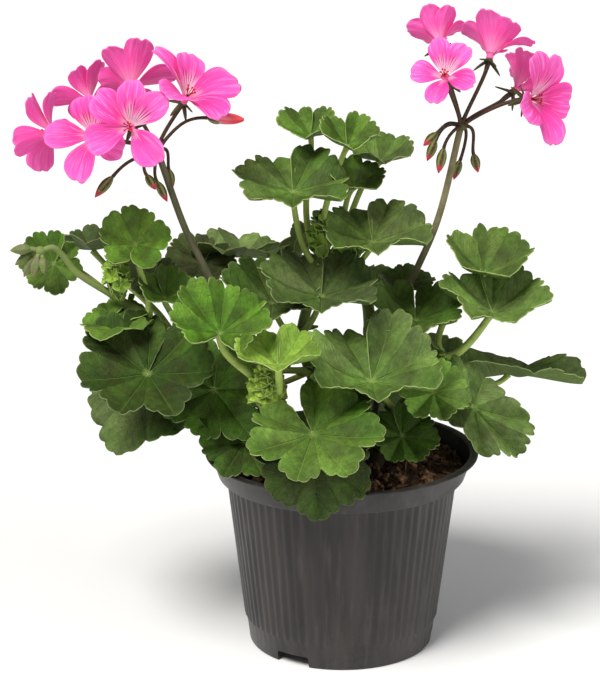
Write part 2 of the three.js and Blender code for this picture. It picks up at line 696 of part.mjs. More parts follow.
// A flower's frame: its axis is the way it faces, and its two upper petals stand on either side of up.
function flowerFrame(row) {
  const at = vec(...row.at);
  const { normal, tip, left } = directions(row.face, row.tip ?? 0);
  const { spread = 74, scale = 1, places = petalPlaces } = row;
  return { at, axis: normal, up: tip.clone().negate(), right: left, spread, scale, places };
}

// The five sepals under a flower, bent back, as one star.
function makeCalyx(flower) {
  const seat = along(flower.at, flower.axis, -floret.receptacle);
  const vertices = [seat, along(seat, flower.axis, -3)].flatMap((p) => p.toArray());
  const triangles = [];
  const points = 10;
  for (let i = 0; i < points; i++) {
    const angle = ((i + 1) / points) * turn;
    const out = aboutAxis(flower, angle);
    const radius = i % 2 ? 1.5 : floret.sepal * 0.85;
    const back = i % 2 ? 1.2 : floret.sepal * 0.6;
    vertices.push(...along(along(seat, out, radius), flower.axis, -back).toArray());
    triangles.push(0, 2 + i, 2 + ((i + 1) % points), 1, 2 + ((i + 1) % points), 2 + i);
  }
  return solidFrom(vertices, triangles);
}

function makeFlowerStalk(umbel) {
  const hub = vec(...umbel.hub);
  const bark = rootOn(umbel.stem, umbel.t, vec(...umbel.stalk[0]));
  const foot = along(bark.centre, bark.out, bark.radius + clearance);
  const knee = along(foot, bark.out, 3);
  const curve = smooth([foot.toArray(), knee.toArray(), ...umbel.stalk, umbel.hub]);
  const lower = [[0, 1.9], [0.02, 1.9], [0.06, 1.9]];
  let solid = stalk(curve, [...lower, ...evenStations([1.9, 1.9, 1.7, 1.6], 7).slice(1)], 6);
  const rise = curve.getTangentAt(1);
  solid = solid.add(solidOf(new THREE.IcosahedronGeometry(2.8, 0).translate(hub.x, hub.y, hub.z)));
  for (const row of umbel.florets) {
    const flower = flowerFrame(row);
    const seat = along(flower.at, flower.axis, -floret.receptacle - 0.6);
    const leave = seat.clone().sub(hub).normalize().addScaledVector(rise, 0.3).normalize();
    const start = along(hub, leave, 1.5);
    const reach = seat.distanceTo(start);
    const pedicel = new THREE.CubicBezierCurve3(
      start,
      along(start, leave, reach * 0.3),
      along(seat, flower.axis, -reach * 0.3),
      seat,
    );
    solid = solid.add(stalk(pedicel, evenStations([0.95, 0.85, 1.1], 4))).add(makeCalyx(flower));
  }
  for (const row of umbel.buds) {
    const leave = vec(...row.leave).normalize();
    const start = along(hub, leave, 1.5);
    const bud = buddedStalk(start, leave, vec(...row.from), vec(...row.to), row.radius, !row.pink);
    solid = solid.add(bud);
  }
  return solid;
}

const umbels = [
  {
    name: 'left',
    stem: 'left',
    t: 0.46,
    stalk: [[-50, 2, 148], [-63, 0, 181], [-72.6, 0, 201]],
    hub: [-85.4, 0, 238.9],
    florets: [
      { at: [-95.5, -24, 253.8], face: [-8, 14], tip: -30, places: [-25, 20, 108, 215, 282] },
      { at: [-113.4, -11, 247.3], face: [-20, 20], tip: -8, scale: 1 },
      { at: [-97, 5, 267.5], face: [178, 32], tip: -10, spread: 64 },
      { at: [-71.4, -8, 264.3], face: [45, 50], scale: 1.15, spread: 62 },
      { at: [-117.5, 16, 259.5], face: [-150, 26], spread: 60, scale: 0.8 },
      { at: [-133, -2, 247], face: [-125, 2], spread: 70, scale: 0.94 },
    ],
    buds: [
      { from: [-105, -12, 229], to: [-113, -14, 220], leave: [-1, -0.3, -0.3], radius: 2.2 },
      { from: [-90, -8, 229], to: [-86, -9, 222.5], leave: [-0.6, -0.5, -0.2], radius: 2 },
      { from: [-85.5, -3.5, 225], to: [-81, -4.5, 216], leave: [0, -0.6, -0.4], radius: 2 },
      { from: [-80.5, 5, 229], to: [-79, 6, 220], leave: [0.8, 0.4, 0.2], radius: 2 },
      {
        from: [-61.5, -8, 255.3],
        to: [-45.2, -10, 254.8],
        leave: [0.7, -0.2, 0.9],
        radius: 2.6,
        pink: true,
      },
    ],
  },
  {
    name: 'right',
    stem: 'right',
    t: 0.5,
    stalk: [[20, 12, 132], [30, 14, 166], [44.1, 4, 205]],
    hub: [53.9, 0, 250.1],
    florets: [
      { at: [45, -18, 275.5], face: [-15, 38], tip: -8, scale: 0.8 },
      { at: [44, 12, 287], face: [-175, 38], scale: 0.8, spread: 46 },
      { at: [66.5, -1, 283], face: [160, 48], tip: 20, scale: 1.02, spread: 50 },
      { at: [84.5, -8, 263.9], face: [48, 8], scale: 1.1, spread: 60 },
      { at: [81, 19, 264.5], face: [120, 35], spread: 60 },
    ],
    buds: [
      { from: [42.4, -8, 248.3], to: [36.5, -10, 243], leave: [-1, -0.4, 0.5], radius: 2 },
      { from: [42.6, 2, 243], to: [38.8, 1, 234], leave: [-0.8, 0.3, 0.2], radius: 2.1 },
      { from: [45.7, -8, 241.4], to: [43.4, -9, 230.2], leave: [-0.4, -0.8, 0], radius: 2.2 },
      { from: [54.5, 9, 232.5], to: [51.8, 10, 223.4], leave: [0.4, 0.8, -0.2], radius: 2 },
      { from: [60.1, 3, 236.5], to: [62.4, 4, 228], leave: [0.8, 0.2, 0], radius: 2.1 },
    ],
  },
];

// The closed buds at the end of the left stem

const budHead = {
  stalk: [[-124, -2, 182], [-129.5, -4, 190], [-134, -6, 194.5], [-139.5, -7, 193]],
  buds: [
    { from: [-144, -8, 194.5], to: [-153, -8, 193.5] },
    { from: [-143.5, -5, 191], to: [-151.5, -4, 186] },
    { from: [-141, -9.5, 190.5], to: [-142.5, -12, 182.5] },
    { from: [-142.5, -6, 189.5], to: [-147.5, -6.5, 181] },
    { from: [-138.5, -9, 190], to: [-137.5, -12.5, 184] },
  ],
  budRadius: 2.5,
};

function makeBudHead() {
  const stem = stems.left.curve;
  const start = along(stem.getPointAt(1), stem.getTangentAt(1), clearance);
  const curve = smooth([start.toArray(), ...budHead.stalk]);
  const hub = curve.getPointAt(1);
  let solid = stalk(curve, evenStations([1.9, 1.7, 1.4, 1.3], 9), 6);
  solid = solid.add(solidOf(new THREE.IcosahedronGeometry(2.6, 0).translate(hub.x, hub.y, hub.z)));
  for (const row of budHead.buds) {
    const from = vec(...row.from);
    const leave = from.clone().sub(hub).normalize();
    solid = solid.add(buddedStalk(along(hub, leave, 1), leave, from, vec(...row.to), budHead.budRadius));
  }
  return solid;
}

// Unfolding leaflets: a tuft at the front stem's tip and shoots on the left and middle stems

const shoots = {
  front: { from: [-35, -36.5, 126.5], up: [0, -0.1, 1], count: 14, length: 20, width: 8, splay: 0.65 },
  left: { from: [-103, 0, 169], up: [-0.1, 0, 1], count: 5, length: 20, width: 6, splay: 0.45 },
  middle: { from: [-8, 12, 188], up: [0, -0.1, 1], count: 4, length: 18, width: 6, splay: 0.5 },
  back: { from: [6, 46, 176], up: [0, 0.1, 1], count: 4, length: 16, width: 6, splay: 0.5 },
};

function addShoot(stem, shoot) {
  const golden = 2.4; // the angle between a leaflet and the next, in radians
  let solid = stem;
  for (let i = 0; i < shoot.count; i++) {
    const angle = i * golden;
    const lean = shoot.splay * Math.sqrt((i + 0.5) / shoot.count);
    const sideways = vec(Math.cos(angle), Math.sin(angle), 0);
    const direction = along(vec(...shoot.up), sideways, lean).normalize();
    const facing = vec(-Math.cos(angle), -Math.sin(angle), 0.3);
    const size = 1 - 0.35 * ((i * 0.37) % 1);
    solid = solid.add(leaflet(vec(...shoot.from), direction, facing, shoot.length * size, shoot.width));
  }
  return solid;
}

// Growth

addNode('pot', makePot(), finish.pot);
addNode('soil', makeSoil(Object.values(stems)), finish.soil);
for (const [name, stem] of Object.entries(stems)) {
  let shoot = stalk(stem.curve, evenStations(stem.radii, 10), 6);
  for (const row of leaves.filter((leaf) => leaf.stem === name)) shoot = shoot.add(makeLeaf(row));
  if (shoots[name]) shoot = addShoot(shoot, shoots[name]);
  addNode(`leafy_stem_${name}`, shoot, finish.leaf);
}
for (const umbel of umbels) {
  addNode(`flower_stalk_${umbel.name}`, makeFlowerStalk(umbel), finish.flowerStalk);
  umbel.florets.forEach((row, i) => {
    addNode(`bloom_${umbel.name}_${i + 1}`, makeFloret(row), finish.petal);
  });
}
const opening = umbels[0].buds.find((row) => row.pink);
const openingPath = new THREE.LineCurve3(vec(...opening.from), vec(...opening.to));
openingPath.v1 = along(openingPath.v1, openingPath.getTangent(0), clearance);
const openingBud = stalk(openingPath, [[0, 1.4], [0.3, 2.7], [0.65, 2.8], [0.9, 1.8], [1, 0.5]], 6);
addNode('bloom_left_bud', openingBud, finish.petal);
addNode('bud_head', makeBudHead(), finish.youngLeaf);

export default part;
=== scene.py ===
import math

import bpy
import numpy as np
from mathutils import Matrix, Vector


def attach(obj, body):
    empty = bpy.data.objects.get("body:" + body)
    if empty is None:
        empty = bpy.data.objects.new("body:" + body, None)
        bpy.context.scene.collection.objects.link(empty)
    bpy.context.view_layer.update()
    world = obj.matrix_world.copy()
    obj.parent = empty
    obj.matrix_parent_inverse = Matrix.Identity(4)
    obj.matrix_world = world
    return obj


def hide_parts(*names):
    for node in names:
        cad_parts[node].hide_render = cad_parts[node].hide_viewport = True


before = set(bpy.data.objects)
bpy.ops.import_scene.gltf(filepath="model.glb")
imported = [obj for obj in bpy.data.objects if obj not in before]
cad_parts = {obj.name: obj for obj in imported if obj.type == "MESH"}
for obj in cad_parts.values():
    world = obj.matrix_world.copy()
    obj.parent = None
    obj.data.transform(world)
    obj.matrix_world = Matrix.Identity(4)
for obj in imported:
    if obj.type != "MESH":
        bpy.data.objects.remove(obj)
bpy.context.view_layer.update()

mm = 0.001
goldenAngle = 2.4  # radians from one leaf or stamen to the next round a stem
print("frame loaded:", len(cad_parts), "nodes")


# Shader maths: a wire is an output socket, and sums on wires add their nodes

class Wire:
    def __init__(self, paint, socket):
        self.paint = paint
        self.socket = socket

    def math(self, operation, *values):
        return self.paint.node("Math", dict(operation=operation), dict(enumerate(values)))

    def __add__(self, other):
        return self.math("ADD", self, other)

    def __radd__(self, other):
        return self.math("ADD", other, self)

    def __sub__(self, other):
        return self.math("SUBTRACT", self, other)

    def __rsub__(self, other):
        return self.math("SUBTRACT", other, self)

    def __mul__(self, other):
        return self.math("MULTIPLY", self, other)

    def __rmul__(self, other):
        return self.math("MULTIPLY", other, self)

    def __truediv__(self, other):
        return self.math("DIVIDE", self, other)

    def __pow__(self, other):
        return self.math("POWER", self, other)

    def size(self):
        return self.math("ABSOLUTE", self)

    def wrapped(self):
        return self.math("FRACT", self)

    def step(self, low, high):  # 0 below low, 1 above high, smooth between
        settings = dict(interpolation_type="SMOOTHSTEP")
        return self.paint.node("MapRange", settings, {"Value": self, "From Min": low, "From Max": high})


class Paint:  # one material
    def __init__(self, name, **fixed):
        self.material = bpy.data.materials.new(name)
        self.material.use_nodes = True
        self.tree = self.material.node_tree
        self.shader = self.tree.nodes["Principled BSDF"]
        for socket, value in fixed.items():
            self.shader.inputs[socket.replace("_", " ")].default_value = value

    def put(self, socket, value):
        if isinstance(value, Wire):
            self.tree.links.new(value.socket, socket)
        elif socket.type == "RGBA" and len(value) == 3:
            socket.default_value = (*value, 1)
        else:
            socket.default_value = value

    def node(self, kind, settings=None, values=None, output=0):
        made = self.tree.nodes.new("ShaderNode" + kind)
        for key, value in (settings or {}).items():
            if key == "stops":
                stops = made.color_ramp.elements
                while len(stops) < len(value):
                    stops.new(0.5)
                for stop, (place, colour) in zip(stops, value):
                    stop.position = place
                    stop.color = (*colour, 1)
            else:
                setattr(made, key, value)
        for key, value in (values or {}).items():
            self.put(made.inputs[key], value)
        return Wire(self, made.outputs[output])

    def mix(self, factor, first, second, blend="MIX"):
        settings = dict(data_type="RGBA", blend_type=blend, clamp_factor=True)
        return self.node("Mix", settings, {0: factor, 6: first, 7: second}, 2)

    def noise(self, scale, detail=3, roughness=0.5, where=None):
        where = where or self.place()
        values = {"Vector": where, "Scale": scale, "Detail": detail, "Roughness": roughness}
        return self.node("TexNoise", {}, values)

    def place(self):
        return self.node("TexCoord", {}, {}, "Object")

    def drawnOut(self, share):  # places squeezed along z, so that a pattern on them runs up and down
        return self.node("Mapping", {}, {0: self.place(), 3: (1, 1, share)})

    def apart(self, vector):
        return [self.node("SeparateXYZ", {}, {0: vector}, i) for i in range(3)]

    def stored(self, name):  # the three numbers of a point attribute
        return self.apart(self.node("Attribute", dict(attribute_name=name), {}, "Vector"))

    def finish(self, colour=None, roughness=None, bump=None, strength=0.4, distance=0.3):
        if colour is not None:
            self.put(self.shader.inputs["Base Color"], colour)
        if roughness is not None:
            self.put(self.shader.inputs["Roughness"], roughness)
        if bump is not None:
            values = {"Height": bump, "Strength": strength, "Distance": distance * mm}
            self.put(self.shader.inputs["Normal"], self.node("Bump", {}, values))
        return self.material


# Curves and placing, in millimetres

def unit(vector):
    return vector / np.linalg.norm(vector)


def smoothPath(points, steps=16):  # a centripetal spline through the points
    p = np.array(points, float)
    p = np.vstack([2 * p[0] - p[1], p, 2 * p[-1] - p[-2]])
    runs = []
    for a, b, c, d in zip(p, p[1:], p[2:], p[3:]):
        first, second, third = (np.linalg.norm(v) ** 0.5 for v in (b - a, c - b, d - c))
        leave = ((b - a) / first - (c - a) / (first + second) + (c - b) / second) * second
        arrive = ((c - b) / second - (d - b) / (second + third) + (d - c) / third) * second
        u = (np.arange(steps) / steps)[:, None]
        bend = -3 * b + 3 * c - 2 * leave - arrive
        runs.append(b + leave * u + bend * u**2 + (2 * b - 2 * c + leave + arrive) * u**3)
    return np.vstack(runs + [p[-2:-1]])


def bezierPath(a, b, c, d, steps=20):
    u = np.linspace(0, 1, steps)[:, None]
    return a * (1 - u) ** 3 + 3 * b * u * (1 - u) ** 2 + 3 * c * u**2 * (1 - u) + d * u**3


def pointAt(path, shares):  # points at shares of a path's length
    lengths = np.append(0, np.cumsum(np.linalg.norm(np.diff(path, axis=0), axis=1)))
    wanted = np.asarray(shares, float) * lengths[-1]
    return np.stack([np.interp(wanted, lengths, path[:, k]) for k in range(3)], -1)


def wayAt(path, share):
    return unit(pointAt(path, min(share + 0.01, 1)) - pointAt(path, max(share - 0.01, 0)))


def facing(face, roll):  # normal, tip and left of something flat, as in the solids
    a, e = np.radians(face)
    normal = np.array([math.sin(a) * math.cos(e), -math.cos(a) * math.cos(e), math.sin(e)])
    downhill = np.array([math.sin(a) * math.sin(e), -math.cos(a) * math.sin(e), -math.cos(e)])
    across = np.cross(normal, downhill)
    r = math.radians(roll)
    tip = downhill * math.cos(r) + across * math.sin(r)
    return normal, tip, np.cross(normal, tip)


# Objects

def select(*pieces):
    if bpy.context.object and bpy.context.object.mode != "OBJECT":
        bpy.ops.object.mode_set(mode="OBJECT")
    bpy.ops.object.select_all(action="DESELECT")
    for piece in pieces:
        piece.select_set(True)
    bpy.context.view_layer.objects.active = pieces[0]


def joined(name, pieces):
    select(*pieces)
    bpy.ops.object.join()
    piece = bpy.context.object
    piece.name = piece.data.name = name
    return piece


def applied(piece, kind, **settings):
    select(piece)
    modifier = piece.modifiers.new(kind.title(), kind)
    for key, value in settings.items():
        setattr(modifier, key, value)
    bpy.ops.object.modifier_apply(modifier=modifier.name)
    return piece


def sheetGrid(columns, rows):  # a flat grid, x from -1 to 1 and y from 0 to 1, that copies are bent from
    bpy.ops.object.select_all(action="DESELECT")
    bpy.ops.mesh.primitive_grid_add(x_subdivisions=columns, y_subdivisions=rows, size=2)
    return bpy.context.object


def pointsOf(piece):  # a row for each point, as the mesh holds it
    place = np.zeros(len(piece.data.vertices) * 3)
    piece.data.vertices.foreach_get("co", place)
    return place.reshape(-1, 3)


def movePoints(piece, points):  # to points given in millimetres
    piece.data.vertices.foreach_set("co", (points * mm).ravel())


def copied(piece, name):  # a copy with its own mesh
    copy = bpy.data.objects.new(name, piece.data.copy())
    bpy.context.collection.objects.link(copy)
    return copy


def bent(grid, shape):  # a copy of a grid, with every point moved by a formula
    piece = copied(grid, "bent")
    place = pointsOf(piece)
    x, y = place[:, 0].clip(-1, 1), ((place[:, 1] + 1) / 2).clip(0, 1)
    points, facts = shape(x, y)
    movePoints(piece, points)
    keep(piece, **facts)
    return piece


def keep(piece, **facts):  # stores three numbers a point under each name
    for name, values in facts.items():
        attribute = piece.data.attributes.new(name, "FLOAT_VECTOR", "POINT")
        rows = np.broadcast_to(np.asarray(values, float), (len(piece.data.vertices), 3))
        attribute.data.foreach_set("vector", np.ascontiguousarray(rows).ravel())


def tubes(name, runs, material, roundness=2):  # runs of (points, radii) as one mesh of round tubes
    curve = bpy.data.curves.new(name, "CURVE")
    curve.dimensions = "3D"
    curve.bevel_depth = mm
    curve.bevel_resolution = roundness
    curve.use_fill_caps = True
    for points, radii in runs:
        spline = curve.splines.new("POLY")
        spline.points.add(len(points) - 1)
        spline.points.foreach_set("co", np.hstack([points * mm, np.ones((len(points), 1))]).ravel())
        spline.points.foreach_set("radius", np.asarray(radii, float))
    piece = bpy.data.objects.new(name, curve)
    bpy.context.collection.objects.link(piece)
    select(piece)
    bpy.ops.object.convert(target="MESH")
    piece = bpy.context.object
    finished(piece, material)
    return piece


def smoothed(piece, angle):  # rounded where faces meet at less than the angle
    select(piece)
    bpy.ops.object.shade_smooth_by_angle(angle=math.radians(angle))


def rounded(piece):  # smooth all over
    piece.data.polygons.foreach_set("use_smooth", [True] * len(piece.data.polygons))


def finished(piece, *materials):
    piece.data.materials.clear()
    for material in materials:
        piece.data.materials.append(material)


def placed(piece, slot, *nodes):
    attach(piece, "root")
    if nodes:
        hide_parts(*nodes)
    print("made", piece.name, len(piece.data.polygons), "faces")


# Camera and light

view = dict(place=(-0.0198, -1.0168, 0.4316), tilt=74.4, lens=118.4)
studio = dict(middle=(0, 0, 0.15), sky=0.22, floor=8, floorShade=(0.9, 0.9, 0.9, 1))

lens = bpy.data.cameras.new("camera")
lens.lens = view["lens"]
camera = bpy.data.objects.new("camera", lens)
camera.location = view["place"]
camera.rotation_euler = (math.radians(view["tilt"]), 0, 0)
bpy.context.collection.objects.link(camera)
bpy.context.scene.camera = camera

lamps = dict(
    sun=dict(place=(-0.75, -1.05, 2.0), angle=28, power=3.5, colour=(1, 0.985, 0.95)),
    side=dict(place=(1.2, -0.9, 0.8), angle=40, power=0.9, colour=(0.96, 0.98, 1)),
)
aim = np.array(studio["middle"])
for name, lamp in lamps.items():
    light = bpy.data.lights.new(name, "SUN")
    light.angle = math.radians(lamp["angle"])
    light.energy = lamp["power"]
    light.color = lamp["colour"]
    holder = bpy.data.objects.new(name, light)
    holder.location = lamp["place"]
    way = Vector(aim - np.array(lamp["place"]))
    holder.rotation_euler = way.to_track_quat("-Z", "Y").to_euler()
    bpy.context.collection.objects.link(holder)

world = bpy.data.worlds.new("studio")
world.use_nodes = True
sky = world.node_tree.nodes["Background"]
sky.inputs["Color"].default_value = (1, 1, 1, 1)
sky.inputs["Strength"].default_value = studio["sky"]
bpy.context.scene.world = world
bpy.context.scene.view_settings.view_transform = "Standard"

bpy.ops.object.select_all(action="DESELECT")
bpy.ops.mesh.primitive_plane_add(size=studio["floor"], location=(0, 0, -0.0002))
floor = bpy.context.object
floor.name = "floor"
floor.data.materials.append(Paint("paleFloor", Base_Color=studio["floorShade"], Roughness=0.9).material)
print("camera, lights and floor ready")


# Pot: one shell drawn up from its foot, over the lip and down inside

pot = dict(
    foot=45, shoulder=55, height=94.5, bandHeight=11.5, bandFoot=58.8, bandTop=61.6,
    lip=65, lipThickness=1.3, wall=1.4, ribs=72, ribDepth=0.26,
    footBand=12, floorHeight=3.2, floorThickness=2.4,
    notches=3, firstNotch=-122, notchWidth=17, notchHeight=5.2,
    drains=6, drainRadius=4, drainCircle=30,
    dark=(0.011, 0.0092, 0.0088), darkCloud=(0.0165, 0.0138, 0.0132),
    # The first two colours below, for coarse and fine vertical streaks, are painted sheen: streaks of
    # highlight on the glossy plastic.
    drawn=(0.038, 0.032, 0.0305), fine=(0.056, 0.05, 0.048), dust=(0.1, 0.088, 0.078),
)


def potPlastic():
    paint = Paint("potPlastic", Specular_IOR_Level=0.38, Coat_Roughness=0.35)
    cloud = paint.noise(28, 4)
    speck = paint.noise(420, 2)
    z = paint.apart(paint.place())[2]
    dust = (paint.noise(9, 3).step(0.42, 0.75) * 0.5 + (0.03 - z).step(0, 0.03) * 0.5) * speck.step(0.3, 0.8)
    # Painted sheen: coarse and fine vertical streaks lighten the colour as highlights on the gloss; the
    # coarse streaks also vary the roughness.
    drawn = paint.noise(75, 3, 0.6, paint.drawnOut(0.03))
    fine = paint.noise(230, 3, 0.6, paint.drawnOut(0.015))
    scratches = paint.noise(500, 2, 0.6, paint.drawnOut(0.04))
    colour = paint.mix(cloud, pot["dark"], pot["darkCloud"])
    colour = paint.mix(drawn.step(0.35, 0.7) * 0.7, colour, pot["drawn"])
    colour = paint.mix(fine.step(0.5, 0.72) * 0.55, colour, pot["fine"])
    colour = paint.mix(dust * 0.25, colour, pot["dust"])
    roughness = 0.2 + drawn * 0.14 + cloud * 0.1 + dust * 0.25 + scratches * 0.1
    bump = speck * 0.25 + scratches * 0.5
    return paint.finish(colour, roughness, bump, strength=0.25, distance=0.08)


def drawRings(profile, sides):  # a ring for each radius and height, as by hand from one circle
    bpy.ops.object.select_all(action="DESELECT")
    (radius, height), *rest = profile
    bpy.ops.mesh.primitive_circle_add(vertices=sides, radius=radius * mm, location=(0, 0, height * mm))
    piece = bpy.context.object
    bpy.ops.object.transform_apply()
    bpy.ops.object.mode_set(mode="EDIT")
    bpy.ops.mesh.select_all(action="SELECT")
    for nextRadius, nextHeight in rest:
        rise = (0, 0, (nextHeight - height) * mm)
        bpy.ops.mesh.extrude_region_move(TRANSFORM_OT_translate={"value": rise})
        share = nextRadius / radius
        centre = (0, 0, nextHeight * mm)
        bpy.ops.transform.resize(value=(share, share, 1), center_override=centre)
        radius, height = nextRadius, nextHeight
    bpy.ops.mesh.select_all(action="SELECT")
    bpy.ops.mesh.remove_doubles(threshold=0.00001)
    bpy.ops.mesh.normals_make_consistent(inside=False)
    bpy.ops.object.mode_set(mode="OBJECT")
    return piece


def makePot():
    top, bandFoot = pot["height"], pot["height"] - pot["bandHeight"]
    lipFoot = top - pot["lipThickness"]
    floorTop = pot["floorHeight"] + pot["floorThickness"]

    def wallAt(height):
        return pot["foot"] + (pot["shoulder"] - pot["foot"]) * height / bandFoot

    inset = 0.9
    walls = [(wallAt(h), h) for h in np.linspace(pot["footBand"] + 1.2, bandFoot - 1.2, 9)]
    profile = [
        (0.01, 0), (22, 0), (23, pot["floorHeight"]), (pot["foot"] - 4.4, pot["floorHeight"]),
        (pot["foot"] - 3.2, 0.6), (pot["foot"] - 2.4, 0), (pot["foot"] - inset - 0.5, 0),
        (pot["foot"] - inset, 0.7), (wallAt(pot["footBand"]) - inset, pot["footBand"]),
        *walls,
        (wallAt(bandFoot) + 0.1, bandFoot - 0.4), (pot["bandFoot"] - 0.6, bandFoot - 0.3),
        (pot["bandFoot"], bandFoot + 0.4), (pot["bandTop"] - 0.3, lipFoot - 2.6),
        (pot["bandTop"] + 0.5, lipFoot - 0.9), (pot["lip"] - 0.9, lipFoot),
        (pot["lip"] - 0.1, lipFoot + 0.35), (pot["lip"], top - 0.5),
        (pot["lip"] - 0.5, top - 0.05), (pot["lip"] - 1.2, top),
        (pot["bandTop"] + 0.4, top), (pot["bandTop"] - 0.6, top - 0.5), (pot["bandTop"] - 1.5, lipFoot - 1.8),
        (pot["bandFoot"] - pot["wall"], bandFoot + 1.2),
        (pot["shoulder"] - pot["wall"] - 0.5, bandFoot), (pot["foot"] - 2.6, floorTop), (0.01, floorTop),
    ]
    piece = drawRings(profile, pot["ribs"] * 6)
    place = pointsOf(piece) / mm
    radius = np.hypot(place[:, 0], place[:, 1])
    angle = np.arctan2(place[:, 1], place[:, 0])
    outside = abs(radius - wallAt(place[:, 2])) < 0.5
    ribbed = outside & (place[:, 2] > pot["footBand"] + 0.5) & (place[:, 2] < bandFoot - 0.6)
    wave = np.clip(np.cos(angle * pot["ribs"]) * 1.6, -1, 1)
    deeper = radius - np.where(ribbed, pot["ribDepth"] * (1 - wave), 0)
    place[:, :2] *= (deeper / np.maximum(radius, 1e-6))[:, None]
    movePoints(piece, place)
    for i in range(pot["notches"]):
        angle = math.radians(pot["firstNotch"]) + i * 2 * math.pi / pot["notches"]
        cut(piece, "cube", angle, pot["foot"], (11, pot["notchWidth"], pot["notchHeight"] * 2))
    for i in range(pot["drains"]):
        angle = i * 2 * math.pi / pot["drains"]
        cut(piece, "cylinder", angle, pot["drainCircle"], (pot["drainRadius"], pot["drainRadius"], 24))
    piece.name = piece.data.name = "potShell"
    piece.data.materials.append(potPlastic())
    smoothed(piece, 35)
    placed(piece, "pot", "pot")


def cut(piece, shape, angle, reach, size):  # takes a block or a round hole out of the pot's foot
    spot = (reach * math.cos(angle) * mm, reach * math.sin(angle) * mm, 0)
    bpy.ops.object.select_all(action="DESELECT")
    if shape == "cube":
        bpy.ops.mesh.primitive_cube_add(size=1, location=spot, rotation=(0, 0, angle))
        tool = bpy.context.object
        tool.scale = tuple(v * mm for v in size)
        bpy.ops.object.transform_apply()
        applied(tool, "BEVEL", width=1.2 * mm, segments=3, affect="EDGES")
    else:
        across, depth = size[0] * mm, size[2] * mm
        bpy.ops.mesh.primitive_cylinder_add(vertices=32, radius=across, depth=depth, location=spot)
        tool = bpy.context.object
        bpy.ops.object.transform_apply()
    applied(piece, "BOOLEAN", object=tool, operation="DIFFERENCE", solver="EXACT")
    bpy.data.objects.remove(tool)


makePot()


# Soil: a lumpy body of compost with crumbs and pale fibres on it

soil = dict(
    level=86.5, wallGap=0.3, heap=2.5, lumps=2.6, seed=11,
    crumbs=1000, crumbSizes=(0.5, 3.1), crumbReach=56, fibres=130, fibreLength=(3, 11),
    ledge=(52.6, 83.4), foot=(41.5, 6),  # radius and height of the lower edges of the body
    earth=((0.007, 0.0035, 0.002), (0.12, 0.06, 0.031)), crumb=((0.045, 0.022, 0.011), (0.42, 0.235, 0.12)),
    straw=((0.12, 0.065, 0.03), (0.36, 0.22, 0.11)),
)


def soilHeight(x, y):
    ripple = np.sin(x * 0.31 + 1.3) * np.cos(y * 0.27) + 0.6 * np.sin(x * 0.13 - y * 0.37)
    fine = 0.5 * np.sin(x * 0.9 + 2 * np.sin(y * 0.6)) * np.cos(y * 1.1 + x * 0.2)
    reach = np.hypot(x, y)
    centre = soil["level"] + 1.5 - reach / 40 + 1.6 * ripple + soil["heap"] * (x + y) / 57
    rim = np.clip((reach - 46) / 11, 0, 1)
    return centre * (1 - rim) + (soil["level"] + 1.3) * rim + fine * soil["lumps"] * 0.4 * (1 - rim)


def soilEarth(name, dark, light):
    paint = Paint(name, Specular_IOR_Level=0.25)
    crumb = paint.node("TexVoronoi", {}, {"Vector": paint.place(), "Scale": 520, "Randomness": 1})
    fleck = paint.node("TexVoronoi", {}, {"Vector": paint.place(), "Scale": 330}, "Color")
    pick = paint.node("SeparateXYZ", {}, {0: fleck}, 0)
    damp = paint.noise(60, 4)
    colour = paint.mix(paint.noise(260, 4, 0.7).step(0.35, 0.7), dark, light)
    colour = paint.mix(pick.step(0.86, 0.92) * 0.75, colour, (0.3, 0.17, 0.08))
    colour = paint.mix(damp.step(0.5, 0.8) * 0.5, colour, (0.008, 0.005, 0.004))
    height = paint.noise(300, 5, 0.7) - crumb * 0.6
    return paint.finish(colour, 0.92 - damp * 0.15, height, strength=0.9, distance=0.9)


